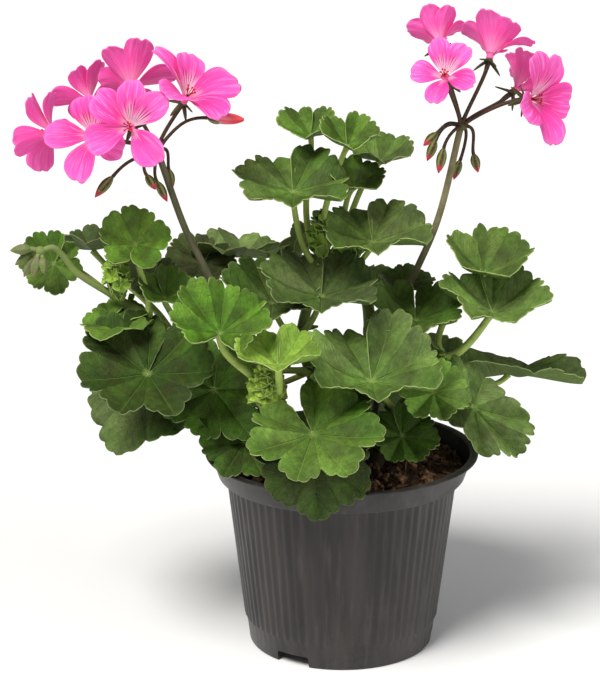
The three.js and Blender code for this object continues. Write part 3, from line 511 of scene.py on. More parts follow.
def makeSoil():
    rng = np.random.default_rng(soil["seed"])
    reach = pot["bandTop"] - pot["wall"] - soil["wallGap"] - 2.2
    rings = [(r, soil["level"]) for r in (0.6, *np.arange(2.2, reach, 1.7), reach)]
    lower = [soil["ledge"], soil["foot"], (0.01, soil["foot"][1])]
    body = drawRings([(0.01, soil["level"]), *rings, *lower], 150)
    place = pointsOf(body) / mm
    top = place[:, 2] > soil["level"] - 0.5
    place[top, 2] = soilHeight(place[top, 0], place[top, 1])
    movePoints(body, place)
    earth, crumb = soilEarth("compost", *soil["earth"]), soilEarth("crumbs", *soil["crumb"])
    finished(body, earth, crumb)
    smoothed(body, 180)
    bpy.ops.object.select_all(action="DESELECT")
    bpy.ops.mesh.primitive_ico_sphere_add(subdivisions=1, radius=1)
    lump = bpy.context.object
    pattern = np.array([v.co for v in lump.data.vertices])
    crumbs = []
    for i in range(soil["crumbs"]):
        away, angle = soil["crumbReach"] * math.sqrt(rng.random()), rng.random() * 2 * math.pi
        x, y = away * math.cos(angle), away * math.sin(angle)
        low, high = soil["crumbSizes"]
        size = low + (high - low) * rng.random() ** 3
        stretch = size * (0.6 + rng.random(3) * [1.1, 0.7, 0.4])
        turn = np.linalg.qr(rng.normal(size=(3, 3)))[0]
        if np.linalg.det(turn) < 0:
            turn[0] *= -1
        corners = (pattern * (0.75 + 0.5 * rng.random((len(pattern), 1))) * stretch) @ turn.T
        corners += [x, y, soilHeight(x, y) + size * 0.25]
        piece = copied(lump, "crumb")
        movePoints(piece, corners)
        crumbs.append(piece)
    bpy.data.objects.remove(lump)
    for piece in crumbs:
        finished(piece, earth, crumb)
        index = int(rng.random() < 0.55)
        piece.data.polygons.foreach_set("material_index", [index] * len(piece.data.polygons))
    runs = []
    for i in range(soil["fibres"]):
        away, angle = 55 * math.sqrt(rng.random()), rng.random() * 2 * math.pi
        x, y = away * math.cos(angle), away * math.sin(angle)
        way, long = rng.random() * 2 * math.pi, rng.uniform(*soil["fibreLength"])
        u = np.linspace(-0.5, 0.5, 7)
        curl = rng.normal(0, 1.2) * (u**2 * 4 - 0.5)
        px = (x + long * u * math.cos(way) - curl * math.sin(way)).clip(-56, 56)
        py = (y + long * u * math.sin(way) + curl * math.cos(way)).clip(-56, 56)
        lie = soilHeight(px, py) + 0.45 + 0.5 * rng.random() * (1 - u**2 * 4)
        near = np.hypot(px, py) < 57
        if near.all():
            runs.append((np.stack([px, py, lie], -1), [rng.uniform(0.12, 0.35)] * 7))
    straw = Paint("fibre")
    straw.finish(straw.mix(straw.noise(150), *soil["straw"]), 0.85)
    fibres = tubes("fibres", runs, straw.material, 0)
    placed(joined("compost", [body, *crumbs, fibres]), "soil", "soil")


makeSoil()


# Leaves: a grid of veined lobes bent for each blade, with its stalk, on the stem it grows on

leaf = dict(
    lobes=7, open=177, cut=0.15, cone=15, droop=0, pleat=0.05, wave=0.05, waves=3, phase=0, fold=0,
    width=1, thick=1.3, bow=(0, 0, 0), tone=0.3, grey=0.2,
    teeth=4, tooth=0.085, ruffle=0.024, quilt=0.008, crease=0.04, swell=0.06, blunt=0.09,
    overlap=7, sheet=0.4, columns=22, rows=16, seed=5,
)
# Each pair runs from a clean green to a grey one in dark, middle and young, and otherwise from a dark leaf
# to a young one
greens = dict(
    dark=((0.029, 0.048, 0.007), (0.066, 0.077, 0.03)),
    middle=((0.065, 0.126, 0.013), (0.13, 0.152, 0.062)),
    young=((0.18, 0.35, 0.03), (0.24, 0.32, 0.1)),
    fresh=((0.24, 0.42, 0.022), (0.72, 0.9, 0.16)),
    lush=((0.04, 0.105, 0.008), (0.12, 0.33, 0.015)),
    veins=((0.17, 0.25, 0.07), (0.32, 0.48, 0.1)),
    under=((0.13, 0.165, 0.07), (0.2, 0.31, 0.08)),
    rim=((0.19, 0.235, 0.11), (0.46, 0.6, 0.18)),
    bark=((0.08, 0.12, 0.016), (0.5, 0.66, 0.15)),
)
stems = dict(
    left=dict(
        points=[(-14, 0, 58), (-14, 0, 75), (-14, 0, 92), (-24, -1, 107), (-48, -3, 126), (-78, -1, 150),
                (-107, 0, 170)],
        radii=[4.2, 4.2, 4.2, 4, 3.4, 2.8, 2],
    ),
    front=dict(
        points=[(-2, -18, 58), (-2, -18, 75), (-2, -18, 92), (-8, -24, 103), (-22, -32, 115),
                (-35, -37, 128)],
        radii=[3.8, 3.8, 3.8, 3.6, 3.2, 2.4],
    ),
    middle=dict(
        points=[(0, 6, 58), (0, 6, 75), (0, 6, 92), (-6, 8, 111), (-15, 10, 131), (-19, 10, 146),
                (-15, 11, 167), (-8, 12, 190)],
        radii=[4.2, 4.2, 4.2, 3.6, 3, 2.8, 2.6, 2.2],
    ),
    right=dict(
        points=[(17, -2, 58), (17, -2, 75), (17, -2, 92), (24, -1, 108), (36, 2, 124), (48, 4, 142)],
        radii=[4.2, 4.2, 4.2, 4, 3.6, 2.8],
    ),
    back=dict(
        points=[(6, 24, 58), (6, 24, 75), (6, 24, 92), (10, 32, 112), (14, 40, 132), (13, 44, 156),
                (6, 46, 178)],
        radii=[4, 4, 4, 3.8, 3.4, 3, 2.4],
    ),
)
for stem in stems.values():
    stem["path"] = smoothPath(stem["points"])
    knots = np.linspace(0, 1, len(stem["points"]))
    stem["shares"] = np.linspace(0, 1, len(stem["path"]))
    stem["thick"] = np.interp(stem["shares"], knots, stem["radii"])

shoots = dict(
    front=dict(base=(-35, -37, 126), up=(0.05, -0.1, 1),
               count=20, length=23, width=6.4, splay=0.6, fresh=1.5),
    left=dict(base=(-104, -3, 169), up=(-0.1, 0, 1), count=6, length=22, width=5.6, splay=0.4, fresh=1.25),
    middle=dict(base=(-9, 8, 187), up=(-0.1, -0.15, 1),
                count=5, length=19, width=5.6, splay=0.45, fresh=1.35),
    back=dict(base=(6, 46, 176), up=(0, 0.1, 1), count=4, length=16, width=6, splay=0.5),
)

leaves = [
    dict(stem="left", t=0.8, at=(-90, -24, 139), face=(-8, 53), tip=-18,
         size=34, cone=16, phase=1, cut=0.18, tone=0.06, grey=0.05, thick=1.5),
    dict(stem="left", t=0.42, at=(-93, 6, 118), face=(-12, 70), tip=-25,
         size=29, cone=0, droop=0.55, lobes=5, tone=0.45, grey=0.65),
    dict(stem="left", t=0.88, at=(-96, -2, 195), face=(0, 42), tip=172,
         size=19, lobes=5, cut=0.24, cone=20, tone=0.62, grey=0.05),
    dict(stem="left", t=0.95, at=(-136, 14, 182), face=(-15, 30), tip=-30,
         size=17, cut=0.22, tone=0.5, grey=0.1),
    dict(stem="left", t=0.85, at=(-106, -8, 158), face=(-5, 78), tip=-85,
         size=19, lobes=5, cone=10, tone=0.72),
    dict(stem="left", t=0.77, at=(-83, 0, 169), face=(10, 56), tip=25,
         size=17, lobes=5, cone=38, tone=0.5, grey=0.05),
    dict(stem="left", t=0.8, at=(-119, 30, 185), face=(-20, 90), tip=-60,
         size=17, lobes=5, fold=20, tone=0.3, grey=0.7),
    dict(stem="left", t=0.62, at=(-90, 20, 174), face=(0, 50), tip=-20,
         size=15, lobes=5, tone=0.2, grey=0.6),
    dict(stem="front", t=0.97, at=(-56, -38, 162), face=(3, 58), tip=172,
         size=27, cone=30, cut=0.2, open=165, tone=0.66, grey=0.05, thick=1.65),
    dict(stem="front", t=0.96, at=(-29.5, -52, 151), face=(0, 76), tip=0,
         size=23, lobes=5, cone=28, tone=1.24, thick=1.6),
    dict(stem="front", t=0.6, at=(-14, -54, 119.5), face=(0, 52), tip=33,
         size=32, cone=12, cut=0.24, open=162, tone=0.66),
    dict(stem="front", t=0.45, at=(-14, -57.5, 110.2), face=(0, 46), tip=5,
         size=28.5, cone=0, droop=0.5, tone=0.0),
    dict(stem="middle", t=0.55, at=(-60, -13, 128), face=(-5, 28), tip=-12,
         size=29, cut=0.2, cone=10, bow=(0, -10, 6), tone=0.42),
    dict(stem="front", t=0.4, at=(-45.5, -24, 105.5), face=(-10, 52), tip=-20,
         size=23, droop=0.2, tone=0.2, grey=0.05),
    dict(stem="middle", t=0.93, at=(-23, -1, 219.5), face=(0, 69), tip=0,
         size=29.5, cone=17, tone=0.56, grey=0.38, blunt=0.22),
    dict(stem="middle", t=0.97, at=(-15, 22, 241.5), face=(-10, 66), tip=0,
         size=18, lobes=5, cone=34, tone=0.68, grey=0.25),
    dict(stem="middle", t=0.98, at=(2, 4, 240), face=(10, 62), tip=0,
         size=18.5, lobes=5, cone=40, tone=0.66, grey=0.2),
    dict(stem="middle", t=0.95, at=(18, 30, 228), face=(20, 72), tip=60,
         size=18, lobes=5, cone=28, tone=0.6, grey=0.55),
    dict(stem="middle", t=0.94, at=(5.5, 15, 219), face=(10, 68), tip=40,
         size=17, lobes=5, cone=28, tone=0.6, grey=0.25),
    dict(stem="middle", t=0.85, at=(14, 2, 195), face=(5, 74), tip=0,
         size=30, cone=20, tone=0.62, grey=0.55, blunt=0.2),
    dict(stem="middle", t=0.7, at=(-10, -6, 171), face=(0, 69), tip=0,
         size=30, cone=21, tone=0.36, grey=0.55, blunt=0.2),
    dict(stem="middle", t=0.66, at=(-33, 5, 165), face=(0, 60), tip=0,
         size=27, cone=28, tone=0.5, grey=0.45),
    # The right-hand leaves have tone and grey set higher, partly their own colour and partly painted light
    # for the brighter light on that side.
    dict(stem="right", t=0.75, at=(34.7, 3, 157.2), face=(5, 66), tip=0,
         size=26, cone=24, open=170, tone=0.55, grey=0.2, thick=1.5, blunt=0.18),
    dict(stem="right", t=0.6, at=(13, -32, 137.5), face=(5, 68), tip=0,
         size=37, cone=26, tone=0.62, grey=0.6, blunt=0.2),
    dict(stem="right", t=0.5, at=(42, -24, 130), face=(5, 42), tip=10, size=19, tone=0.8, grey=0.35),
    dict(stem="right", t=0.97, at=(70.5, 0, 162), face=(12, 72), tip=10,
         size=29, cone=27, tone=0.7, grey=0.55, thick=1.6),
    dict(stem="right", t=0.98, at=(67, 12, 178), face=(10, 64), tip=20,
         size=26, lobes=5, cone=38, tone=0.72, grey=0.5),
    dict(stem="right", t=0.85, at=(80, 14, 128), face=(0, 90), tip=90,
         size=42, lobes=5, fold=20, cone=0, width=0.42, tone=0.6, grey=0.7),
    dict(stem="right", t=0.65, at=(61.5, -12, 119), face=(10, 38), tip=35,
         size=36, cone=3, fold=10, width=0.5, tone=0.55, grey=0.6),
    dict(stem="right", t=0.4, at=(28, -18, 107), face=(10, 42), tip=20, size=18, tone=0.3, grey=0.1),
    dict(stem="right", t=0.5, at=(4, -10, 127), face=(0, 60), tip=0, size=20, lobes=5, tone=0.1, grey=0.3),
    dict(stem="back", t=0.92, at=(-48, 50, 177), face=(0, 96), tip=-70,
         size=30, fold=10, cone=6, tone=0.75, grey=0.95),
    dict(stem="back", t=0.85, at=(-20, 40, 179), face=(-70, 20), tip=150,
         size=24, width=0.3, fold=40, lobes=5, tone=0.75, grey=0.95),
    dict(stem="back", t=0.85, at=(-67, 38, 176), face=(-5, 60), tip=-30, size=19, tone=0.4, grey=0.7),
    dict(stem="back", t=0.75, at=(31, 30, 168), face=(20, 75), tip=20,
         size=15, lobes=5, tone=0.2, grey=0.3),
    dict(stem="back", t=0.97, at=(0, 64, 156), face=(175, 62), tip=0,
         size=30, cone=14, tone=0.35, grey=0.2),
    dict(stem="back", t=0.55, at=(-48, 50, 112), face=(-145, 52), tip=10,
         size=30, cone=10, tone=0.3, grey=0.1),
    dict(stem="back", t=0.65, at=(44, 58, 122), face=(140, 50), tip=0,
         size=31, cone=12, tone=0.4, grey=0.2),
    dict(stem="back", t=0.4, at=(10, 62, 104), face=(175, 35), tip=0, size=27, cone=5, tone=0.3, grey=0.1),
]


def leafShape(row, rng):  # where each point of the flat grid goes, and what the paint is told there
    lobes, opening = row["lobes"], math.radians(row["open"] + row["overlap"])
    size, cone, phase = row["size"], math.radians(row["cone"]), row["phase"]
    shift = rng.random(6) * 6.28
    uneven = 1 + rng.normal(0, 0.04, lobes + 2)
    over = size * 0.05 * rng.choice((-1, 1))

    def shape(x, y):
        theta, q = x * opening, y**0.85
        place = (x + 1) / 2 * lobes
        inLobe = place % 1
        bump = abs(np.sin(np.pi * inLobe))
        teeth = abs(np.sin(np.pi * inLobe * row["teeth"] + 0.35 * np.sin(place * 2.1 + shift[0]))) ** 0.55
        corner = np.clip((abs(x) - 0.84) / 0.16, 0, 1)
        outline = (1 - 0.14 * abs(x) ** 3) * (1 + 0.04 * np.sin(2.3 * theta + phase)) * (1 - 0.3 * corner**2)
        outline = outline * (1 - row["cut"] * (1 - np.sqrt(bump)))
        outline = outline * (1 - row["tooth"] * (1 - teeth) * q**2)
        outline = outline * np.interp(place, np.arange(lobes + 2) - 0.5, uneven)
        outline = outline * (1 - row["blunt"] * np.exp(-((x / 0.17) ** 2)))
        slant = size * outline * q
        px = slant * math.cos(cone) * np.cos(theta)
        py = row["width"] * slant * math.cos(cone) * np.sin(theta)
        pz = slant * math.sin(cone) * (0.6 + 0.4 * q)
        crease = 2 * abs(np.cos(np.pi * inLobe)) ** 0.8 - 1
        pz = pz + size * (row["pleat"] + row["crease"]) * q * crease + over * q * x**3
        pz = pz + size * row["wave"] * q**2.5 * np.sin(row["waves"] * theta + phase)
        pz = pz + size * row["swell"] * q**1.5 * np.sin(1.6 * theta + shift[3]) * np.sin(2.6 * q + shift[4])
        pz = pz - size * row["droop"] * (q * np.maximum(0, np.cos(theta))) ** 2
        ruffle = np.sin(place * 7.3 + shift[1]) * (1 + np.sin(place * 1.7 + shift[5]))
        pz = pz + size * row["ruffle"] * q**5 * ruffle
        along = q * np.cos((inLobe - 0.5) * 2 * opening / lobes)
        beside = (inLobe - 0.5) * 2 * opening / lobes * q
        rib = np.cos((along - 0.9 * abs(beside)) / 0.17 * 2 * np.pi)
        pz = pz - size * row["quilt"] * rib * np.clip(q * 2, 0, 1) * np.clip(abs(beside) * 9, 0, 1)
        if row["fold"]:
            soft, fold = 0.1 * size, math.radians(row["fold"])
            pz = pz + (np.hypot(py, soft) - soft) * math.sin(fold)
            py = py * math.cos(fold)
        points = row["place"] + px[:, None] * row["tipWay"] + py[:, None] * row["leftWay"]
        points = points + pz[:, None] * row["normal"]
        facts = dict(
            vein=np.stack([along, beside, q], -1),
            look=np.broadcast_to([row["tone"], row["grey"], row["luck"]], (len(x), 3)),
        )
        return points, facts

    return shape


def petiole(row):  # the leaf's stalk, from the side of its stem to the middle of the blade
    stem = stems[row["stem"]]
    centre = pointAt(stem["path"], row["t"])
    radius = np.interp(row["t"], stem["shares"], stem["thick"])
    tangent = wayAt(stem["path"], row["t"])
    toward = row["place"] - centre
    out = unit(toward - tangent * np.dot(toward, tangent))
    root = centre + out * radius * 0.3
    leave = unit(out + 0.4 * tangent)
    arrive = unit(0.8 * row["normal"] + 0.6 * row["tipWay"])
    end = row["place"] - row["normal"] * 0.5
    reach = np.linalg.norm(end - root) * 0.35
    path = bezierPath(root, root + leave * reach + row["bow"], end - arrive * reach, end, 18)
    u = np.linspace(0, 1, 18)
    radii = row["thick"] * (1.3 - 0.3 * u) + 0.9 * np.exp(-((u / 0.06) ** 2))
    radii = radii + 0.35 * np.exp(-(((u - 1) / 0.05) ** 2))
    return path, radii


def leafPaint(name, under=False):
    paint = Paint(name, Specular_IOR_Level=0.16 if not under else 0.1)
    along, beside, q = paint.stored("vein")
    tone, grey, luck = paint.stored("look")
    away = beside.size()
    place = paint.place()
    wander = (paint.noise(90, 3) - 0.5) * 0.05
    main = (1 - (away + wander * 0.12).step(0.003, 0.012)) * (1 - q * 0.35)
    forks = ((along - away * 0.9 + wander) / 0.165).wrapped() - 0.5
    fork = (1 - forks.size().step(0.01, 0.075)) * away.step(0.01, 0.03) * (1 - away.step(0.25, 0.5) * 0.5)
    net = paint.node("TexVoronoi", dict(feature="DISTANCE_TO_EDGE"), {"Vector": place, "Scale": 700})
    mesh = 1 - net.step(0.02, 0.13)
    blotch, cloud = paint.noise(55, 4, 0.6), paint.noise(24, 2)
    dark, middle, young = (paint.mix(grey, *greens[kind]) for kind in ("dark", "middle", "young"))
    colour = paint.mix(tone.step(-0.05, 0.55), dark, middle)
    colour = paint.mix(tone.step(0.4, 1.05), colour, young)
    colour = paint.mix(tone.step(1.05, 1.5), colour, paint.mix(blotch, *greens["fresh"]))
    lush = (cloud + (blotch - 0.5) * 0.5).step(0.35, 0.7)
    colour = paint.mix(lush * (0.65 - grey * 0.4), colour, paint.mix(tone, *greens["lush"]))
    # Painted shade: the blade is darkened midway between the fork veins, for the shade in the dips of the
    # quilted blade.
    shadeBetweenVeins = (forks.size() * 2).step(0.25, 0.9) * (1 - lush * 0.5)
    colour = paint.mix(shadeBetweenVeins * (0.45 - tone * 0.2), colour, paint.mix(0.6, colour, (0.018, 0.021, 0.006)))
    # Painted light and shade: broad patches that brighten and darken the blade, for lit and shaded places on
    # it.
    patch = paint.mix(paint.noise(42, 3, 0.6).step(0.3, 0.7), (0.66, 0.68, 0.72), (1.26, 1.26, 1.28))
    # Painted light and shade: on one side of each main vein the lobe is lighter, on the other darker, as the
    # folds look under light from one side.
    litAndShadedHalves = paint.mix((beside * 8).step(-1, 1), (1.2, 1.2, 1.18), (0.78, 0.78, 0.8))
    mottle = paint.mix(paint.noise(330, 4, 0.75).step(0.3, 0.7), (0.74, 0.76, 0.8), (1.3, 1.27, 1.3))
    for layer in (patch, litAndShadedHalves, mottle):
        colour = paint.mix(1, colour, layer, "MULTIPLY")
    ring = (q - 0.52 + (blotch - 0.5) * 0.3).size()
    zone = (1 - ring.step(0.02, 0.2)) * (1 - tone.step(0.6, 0.9)) * (luck.step(0.1, 0.6) * 0.26 + 0.06)
    colour = paint.mix(zone, colour, (0.034, 0.027, 0.009))
    veins = paint.mix(tone, *greens["veins"])
    colour = paint.mix(main * (0.5 if not under else 0.85), colour, veins)
    colour = paint.mix(fork * (0.15 if not under else 0.45) + mesh * 0.05, colour, veins)
    colour = paint.mix((1 - q.step(0.01, 0.11)) * 0.7, colour, (0.3, 0.42, 0.11))
    edge = (q + (paint.noise(200, 2) - 0.5) * 0.015).step(0.98, 1)
    colour = paint.mix(edge * 0.4, colour, (0.2, 0.26, 0.09))
    if under:
        colour = paint.mix(0.55, colour, paint.mix(tone, *greens["under"]))
    else:
        colour = paint.mix(paint.noise(1500, 2).step(0.55, 0.85) * 0.12, colour, (0.25, 0.31, 0.16))
    fuzz = paint.noise(900, 3)
    height = fuzz * 0.22 - fork * 0.6 - main * 1.1 - mesh * 0.2 + blotch * 0.5
    if under:
        height = fork * 0.8 + main * 1.3 + mesh * 0.3 + fuzz * 0.3
    roughness = 0.44 + fuzz * 0.16 + blotch * 0.12
    return paint.finish(colour, roughness, height, strength=0.9, distance=0.5)


def rimPaint():
    paint = Paint("leafEdge", Specular_IOR_Level=0.2)
    colour = paint.mix(paint.stored("look")[0], *greens["rim"])
    return paint.finish(paint.mix(paint.noise(500) * 0.5, colour, (0.14, 0.17, 0.06)), 0.6)


def barkPaint(name):
    paint = Paint(name, Specular_IOR_Level=0.35)
    tone = paint.stored("look")[0]
    z = paint.apart(paint.place())[2]
    scars = paint.noise(140, 4, 0.6)
    woody = (0.118 - z + (scars - 0.5) * 0.03).step(-0.012, 0.02) * (1 - tone)
    green = paint.mix(tone, *greens["bark"])
    green = paint.mix(scars.step(0.45, 0.75) * 0.4, green, (0.09, 0.075, 0.022))
    colour = paint.mix(woody, green, paint.mix(scars, (0.03, 0.02, 0.01), (0.1, 0.07, 0.035)))
    down = paint.noise(1100, 2)
    colour = paint.mix(down.step(0.55, 0.8) * 0.25, colour, (0.32, 0.34, 0.2))
    return paint.finish(colour, 0.55 + scars * 0.2, scars + down * 0.3, strength=0.6, distance=0.5)


def leafletShape(base, direction, across, length, width, luck, frill, tone):
    normal = unit(np.cross(direction, across))
    side = np.cross(normal, direction)

    def shape(x, y):
        half = width * 0.5 * np.sin(np.pi * np.clip(y, 0.02, 1) ** 1.3) ** 0.8 + 0.35
        half = half * (1 + 0.12 * frill * np.sin(y * 31 + luck * 9))
        crinkle = frill * y * (np.sin(x * 7 + luck * 30 + y * 9) + 0.5 * np.sin(y * 26 + x * 4 + luck * 17))
        lift = -width * 0.42 * x**2 * (1 - 0.4 * y) + crinkle
        bend = length * (0.2 - 0.42 * luck) * y**2
        points = base + direction * (length * y)[:, None] + side * (half * x)[:, None]
        points = points + normal * (lift + bend)[:, None]
        facts = dict(
            vein=np.stack([y, abs(x) * 0.3 * (1 - y * 0.5), y * 0.7], -1),
            look=np.broadcast_to([tone, 0.05, luck], (len(x), 3)),
        )
        return points, facts

    return shape


def frond(shoot, i):  # one of the small crumpled leaves that unfold in a shoot
    share = (i + 0.5) / (shoot["count"] * 2)
    angle = i * goldenAngle
    out = np.array([math.cos(angle), math.sin(angle), 0])
    tall = shoot["length"] * (0.25 + 0.75 * (1 - share))
    place = np.array(shoot["base"]) + unit(np.array(shoot["up"], float)) * tall
    place = place + out * shoot["width"] * 0.75 * share**0.5
    normal = unit(out * (0.5 + share) + [0, -0.5, 0.9])
    tipWay = unit(np.cross(normal, np.cross([0, 0, -1.0], normal)))
    size = shoot["width"] * (0.55 + 0.35 * share)
    given = dict(leaf, lobes=5, size=size, cone=28, wave=0.16, ruffle=0.12, crease=0.14)
    given.update(place=place, normal=normal, tipWay=tipWay, leftWay=np.cross(normal, tipWay), grey=0.0)
    given["tone"] = shoot.get("fresh", 1)
    return dict(given, luck=(i * 0.618) % 1, phase=i, teeth=3)


def makeLeaves():
    top, below, rim = leafPaint("leafTop"), leafPaint("leafUnder", under=True), rimPaint()
    bark = barkPaint("leafStalk")
    grids = {count: sheetGrid(leaf["columns"] * count, leaf["rows"]) for count in (5, 7)}
    small, fan = sheetGrid(8, 12), sheetGrid(34, 6)
    for name, stem in stems.items():
        blades, runs = [], []
        for number, given in enumerate(leaves):
            if given["stem"] != name:
                continue
            rng = np.random.default_rng(leaf["seed"] + number)
            row = dict(leaf, luck=rng.random(), **{k: v for k, v in given.items() if k not in leaf})
            row.update({k: v for k, v in given.items() if k in leaf})
            row["place"] = np.array(row["at"], float)
            row["normal"], row["tipWay"], row["leftWay"] = facing(row["face"], row["tip"])
            blades.append(bent(grids[row["lobes"]], leafShape(row, rng)))
            path, radii = petiole(row)
            runs.append((path, radii, row["tone"]))
            for turn in (-1, 1):  # the pair of small bracts where the stalk leaves the stem
                way = unit(path[1] - path[0])
                side = unit(np.cross(way, wayAt(stem["path"], row["t"]))) * turn
                start = path[0] + side * 1.6
                bract = leafletShape(start, unit(way + side * 0.9), way, 6.5, 4, rng.random(), 0.2, 0.7)
                blades.append(bent(small, bract))
        if name in shoots:
            shoot = shoots[name]
            for i in range(shoot["count"] * 2):
                blades.append(bent(fan, leafShape(frond(shoot, i), np.random.default_rng(i))))
            base, up = np.array(shoot["base"], float), np.array(shoot["up"], float)
            for i in range(shoot["count"]):
                angle, lean = i * goldenAngle, shoot["splay"] * math.sqrt((i + 0.5) / shoot["count"])
                way = unit(up + lean * np.array([math.cos(angle), math.sin(angle), 0]))
                inward = np.array([-math.cos(angle), -math.sin(angle), 0.3])
                across = unit(np.cross(inward, way))
                long, luck = shoot["length"] * (0.8 - 0.4 * ((i * 0.37) % 1)), (i * 0.618) % 1
                tone = shoot.get("fresh", 1)
                leaflet = leafletShape(base, way, across, long, shoot["width"], luck, 0.8, tone)
                blades.append(bent(small, leaflet))
        sheet = joined("blades", blades)
        select(sheet)
        bpy.ops.object.mode_set(mode="EDIT")
        bpy.ops.mesh.select_all(action="SELECT")
        bpy.ops.mesh.remove_doubles(threshold=0.02 * mm)
        bpy.ops.object.mode_set(mode="OBJECT")
        finished(sheet, below, top, rim)
        applied(sheet, "SOLIDIFY", thickness=leaf["sheet"] * mm, offset=1, material_offset=1,
                material_offset_rim=2)
        stalks = []
        for path, radii, tone in runs:
            stalk = tubes("stalk", [(path, radii)], bark, 3)
            keep(stalk, look=(0.1 + 0.95 * tone, 0.2, 0.5))
            stalks.append(stalk)
        nodes = 0.35 * np.clip(np.cos(stem["shares"] * 60) * 2 - 1, 0, 1)
        trunk = tubes("trunk", [(stem["path"], stem["thick"] * 0.96 + nodes)], bark, 6)
        keep(trunk, look=(0.1, 0.2, 0.5))
        piece = joined("leaves" + name.capitalize(), [sheet, *stalks, trunk])
        rounded(piece)
        placed(piece, "leaf", "leafy_stem_" + name)
    for grid in (*grids.values(), small, fan):
        bpy.data.objects.remove(grid)


makeLeaves()


# Flowers: petals bent from one grid, sepals, stamens, drooping buds and their stalks

floret = dict(
    petal=21, width=0.34, throat=1.6, claw=0.8, receptacle=3.4, sepal=7.6, sheet=0.32,
    spread=74, scale=1, tip=0, places=(-25, 25, 102, 180, 258), seed=3,
)
pinks = dict(
    # The deep pinks, used toward the petal base, are partly the petal's own colour and partly painted shade.
    main=((0.84, 0.085, 0.44), (0.9, 0.14, 0.54)), deepAndShaded=((0.76, 0.03, 0.25), (0.82, 0.05, 0.34)),
    # The pale and dark streak pinks on the next line are painted sheen and painted shade.
    ray=(0.66, 0.02, 0.26), pale=(0.98, 0.36, 0.76), dark=(0.68, 0.02, 0.25), edge=(0.95, 0.3, 0.66),
    # The glow pink below is a painted glow, standing in for light coming through the thin petals.
    throat=(1, 0.76, 0.88), lines=(0.2, 0.002, 0.03), under=(0.9, 0.1, 0.38), paintedGlow=(0.9, 0.09, 0.42, 1),
)
umbels = dict(
    left=dict(
        stem="left", t=0.46, stalk=[(-50, 2, 148), (-63, 0, 181), (-72.6, 0, 201)], hub=(-85.4, 0, 238.9),
        florets=[
            dict(at=(-95.5, -24, 253.8), face=(-8, 14), tip=-30, places=(-25, 20, 108, 215, 282)),
            dict(at=(-113.4, -11, 247.3), face=(-20, 20), tip=-8),
            dict(at=(-97, 5, 267.5), face=(178, 32), tip=-10, spread=64),
            dict(at=(-71.4, -8, 264.3), face=(45, 50), scale=1.15, spread=62),
            dict(at=(-117.5, 16, 259.5), face=(-150, 26), spread=60, scale=0.8),
            dict(at=(-133, -2, 247), face=(-125, 2), spread=70, scale=0.94, sepal=5.6),
        ],
        buds=[
            dict(base=(-105, -12, 229), to=(-113, -14, 220), leave=(-1, -0.3, -0.3), radius=2.2),
            dict(base=(-90, -8, 229), to=(-86, -9, 222.5), leave=(-0.6, -0.5, -0.2), radius=2),
            dict(base=(-85.5, -3.5, 225), to=(-81, -4.5, 216), leave=(0, -0.6, -0.4), radius=2),
            dict(base=(-80.5, 5, 229), to=(-79, 6, 220), leave=(0.8, 0.4, 0.2), radius=2),
            dict(base=(-61.5, -8, 255.3), to=(-45.2, -10, 254.8), leave=(0.7, -0.2, 0.9), pink=True),
        ],
    ),
    right=dict(
        stem="right", t=0.5, stalk=[(20, 12, 132), (30, 14, 166), (44.1, 4, 205)], hub=(53.9, 0, 250.1),
        florets=[
            dict(at=(45, -18, 275.5), face=(-15, 38), tip=-8, scale=0.8),
            dict(at=(44, 12, 287), face=(-175, 38), scale=0.8, spread=46),
            dict(at=(66.5, -1, 283), face=(160, 48), tip=20, scale=1.02, spread=50),
            dict(at=(84.5, -8, 263.9), face=(48, 8), scale=1.1, spread=60),
            dict(at=(81, 19, 264.5), face=(120, 35), scale=0.89, spread=60),
        ],
        buds=[
            dict(base=(42.4, -8, 248.3), to=(36.5, -10, 243), leave=(-1, -0.4, 0.5), radius=2),
            dict(base=(42.6, 2, 243), to=(38.8, 1, 234), leave=(-0.8, 0.3, 0.2), radius=2.1),
            dict(base=(45.7, -8, 241.4), to=(43.4, -9, 230.2), leave=(-0.4, -0.8, 0), radius=2.2),
            dict(base=(54.5, 9, 232.5), to=(51.8, 10, 223.4), leave=(0.4, 0.8, -0.2), radius=2),
            dict(base=(60.1, 3, 236.5), to=(62.4, 4, 228), leave=(0.8, 0.2, 0), radius=2.1),
        ],
    ),
)
head = dict(
    stalk=[(-124, -2, 182), (-129.5, -4, 190), (-134, -6, 194.5), (-139.5, -7, 193)],
    buds=[
        ((-144, -8, 194.5), (-153, -8, 193.5)), ((-143.5, -5, 191), (-151.5, -4, 186)),
        ((-141, -9.5, 190.5), (-142.5, -12, 182.5)), ((-142.5, -6, 189.5), (-147.5, -6.5, 181)),
        ((-138.5, -9, 190), (-137.5, -12.5, 184)),
    ],
    radius=2.5,
)


def flowerFrame(given):
    flower = dict(floret, **{k: v for k, v in given.items() if k not in floret})
    flower.update(given)
    flower["at"] = np.array(flower["at"], float)
    flower["axis"], tipWay, flower["right"] = facing(flower["face"], flower["tip"])
    flower["up"] = -tipWay
    return flower


def around(flower, angle):
    return flower["up"] * math.cos(angle) + flower["right"] * math.sin(angle)


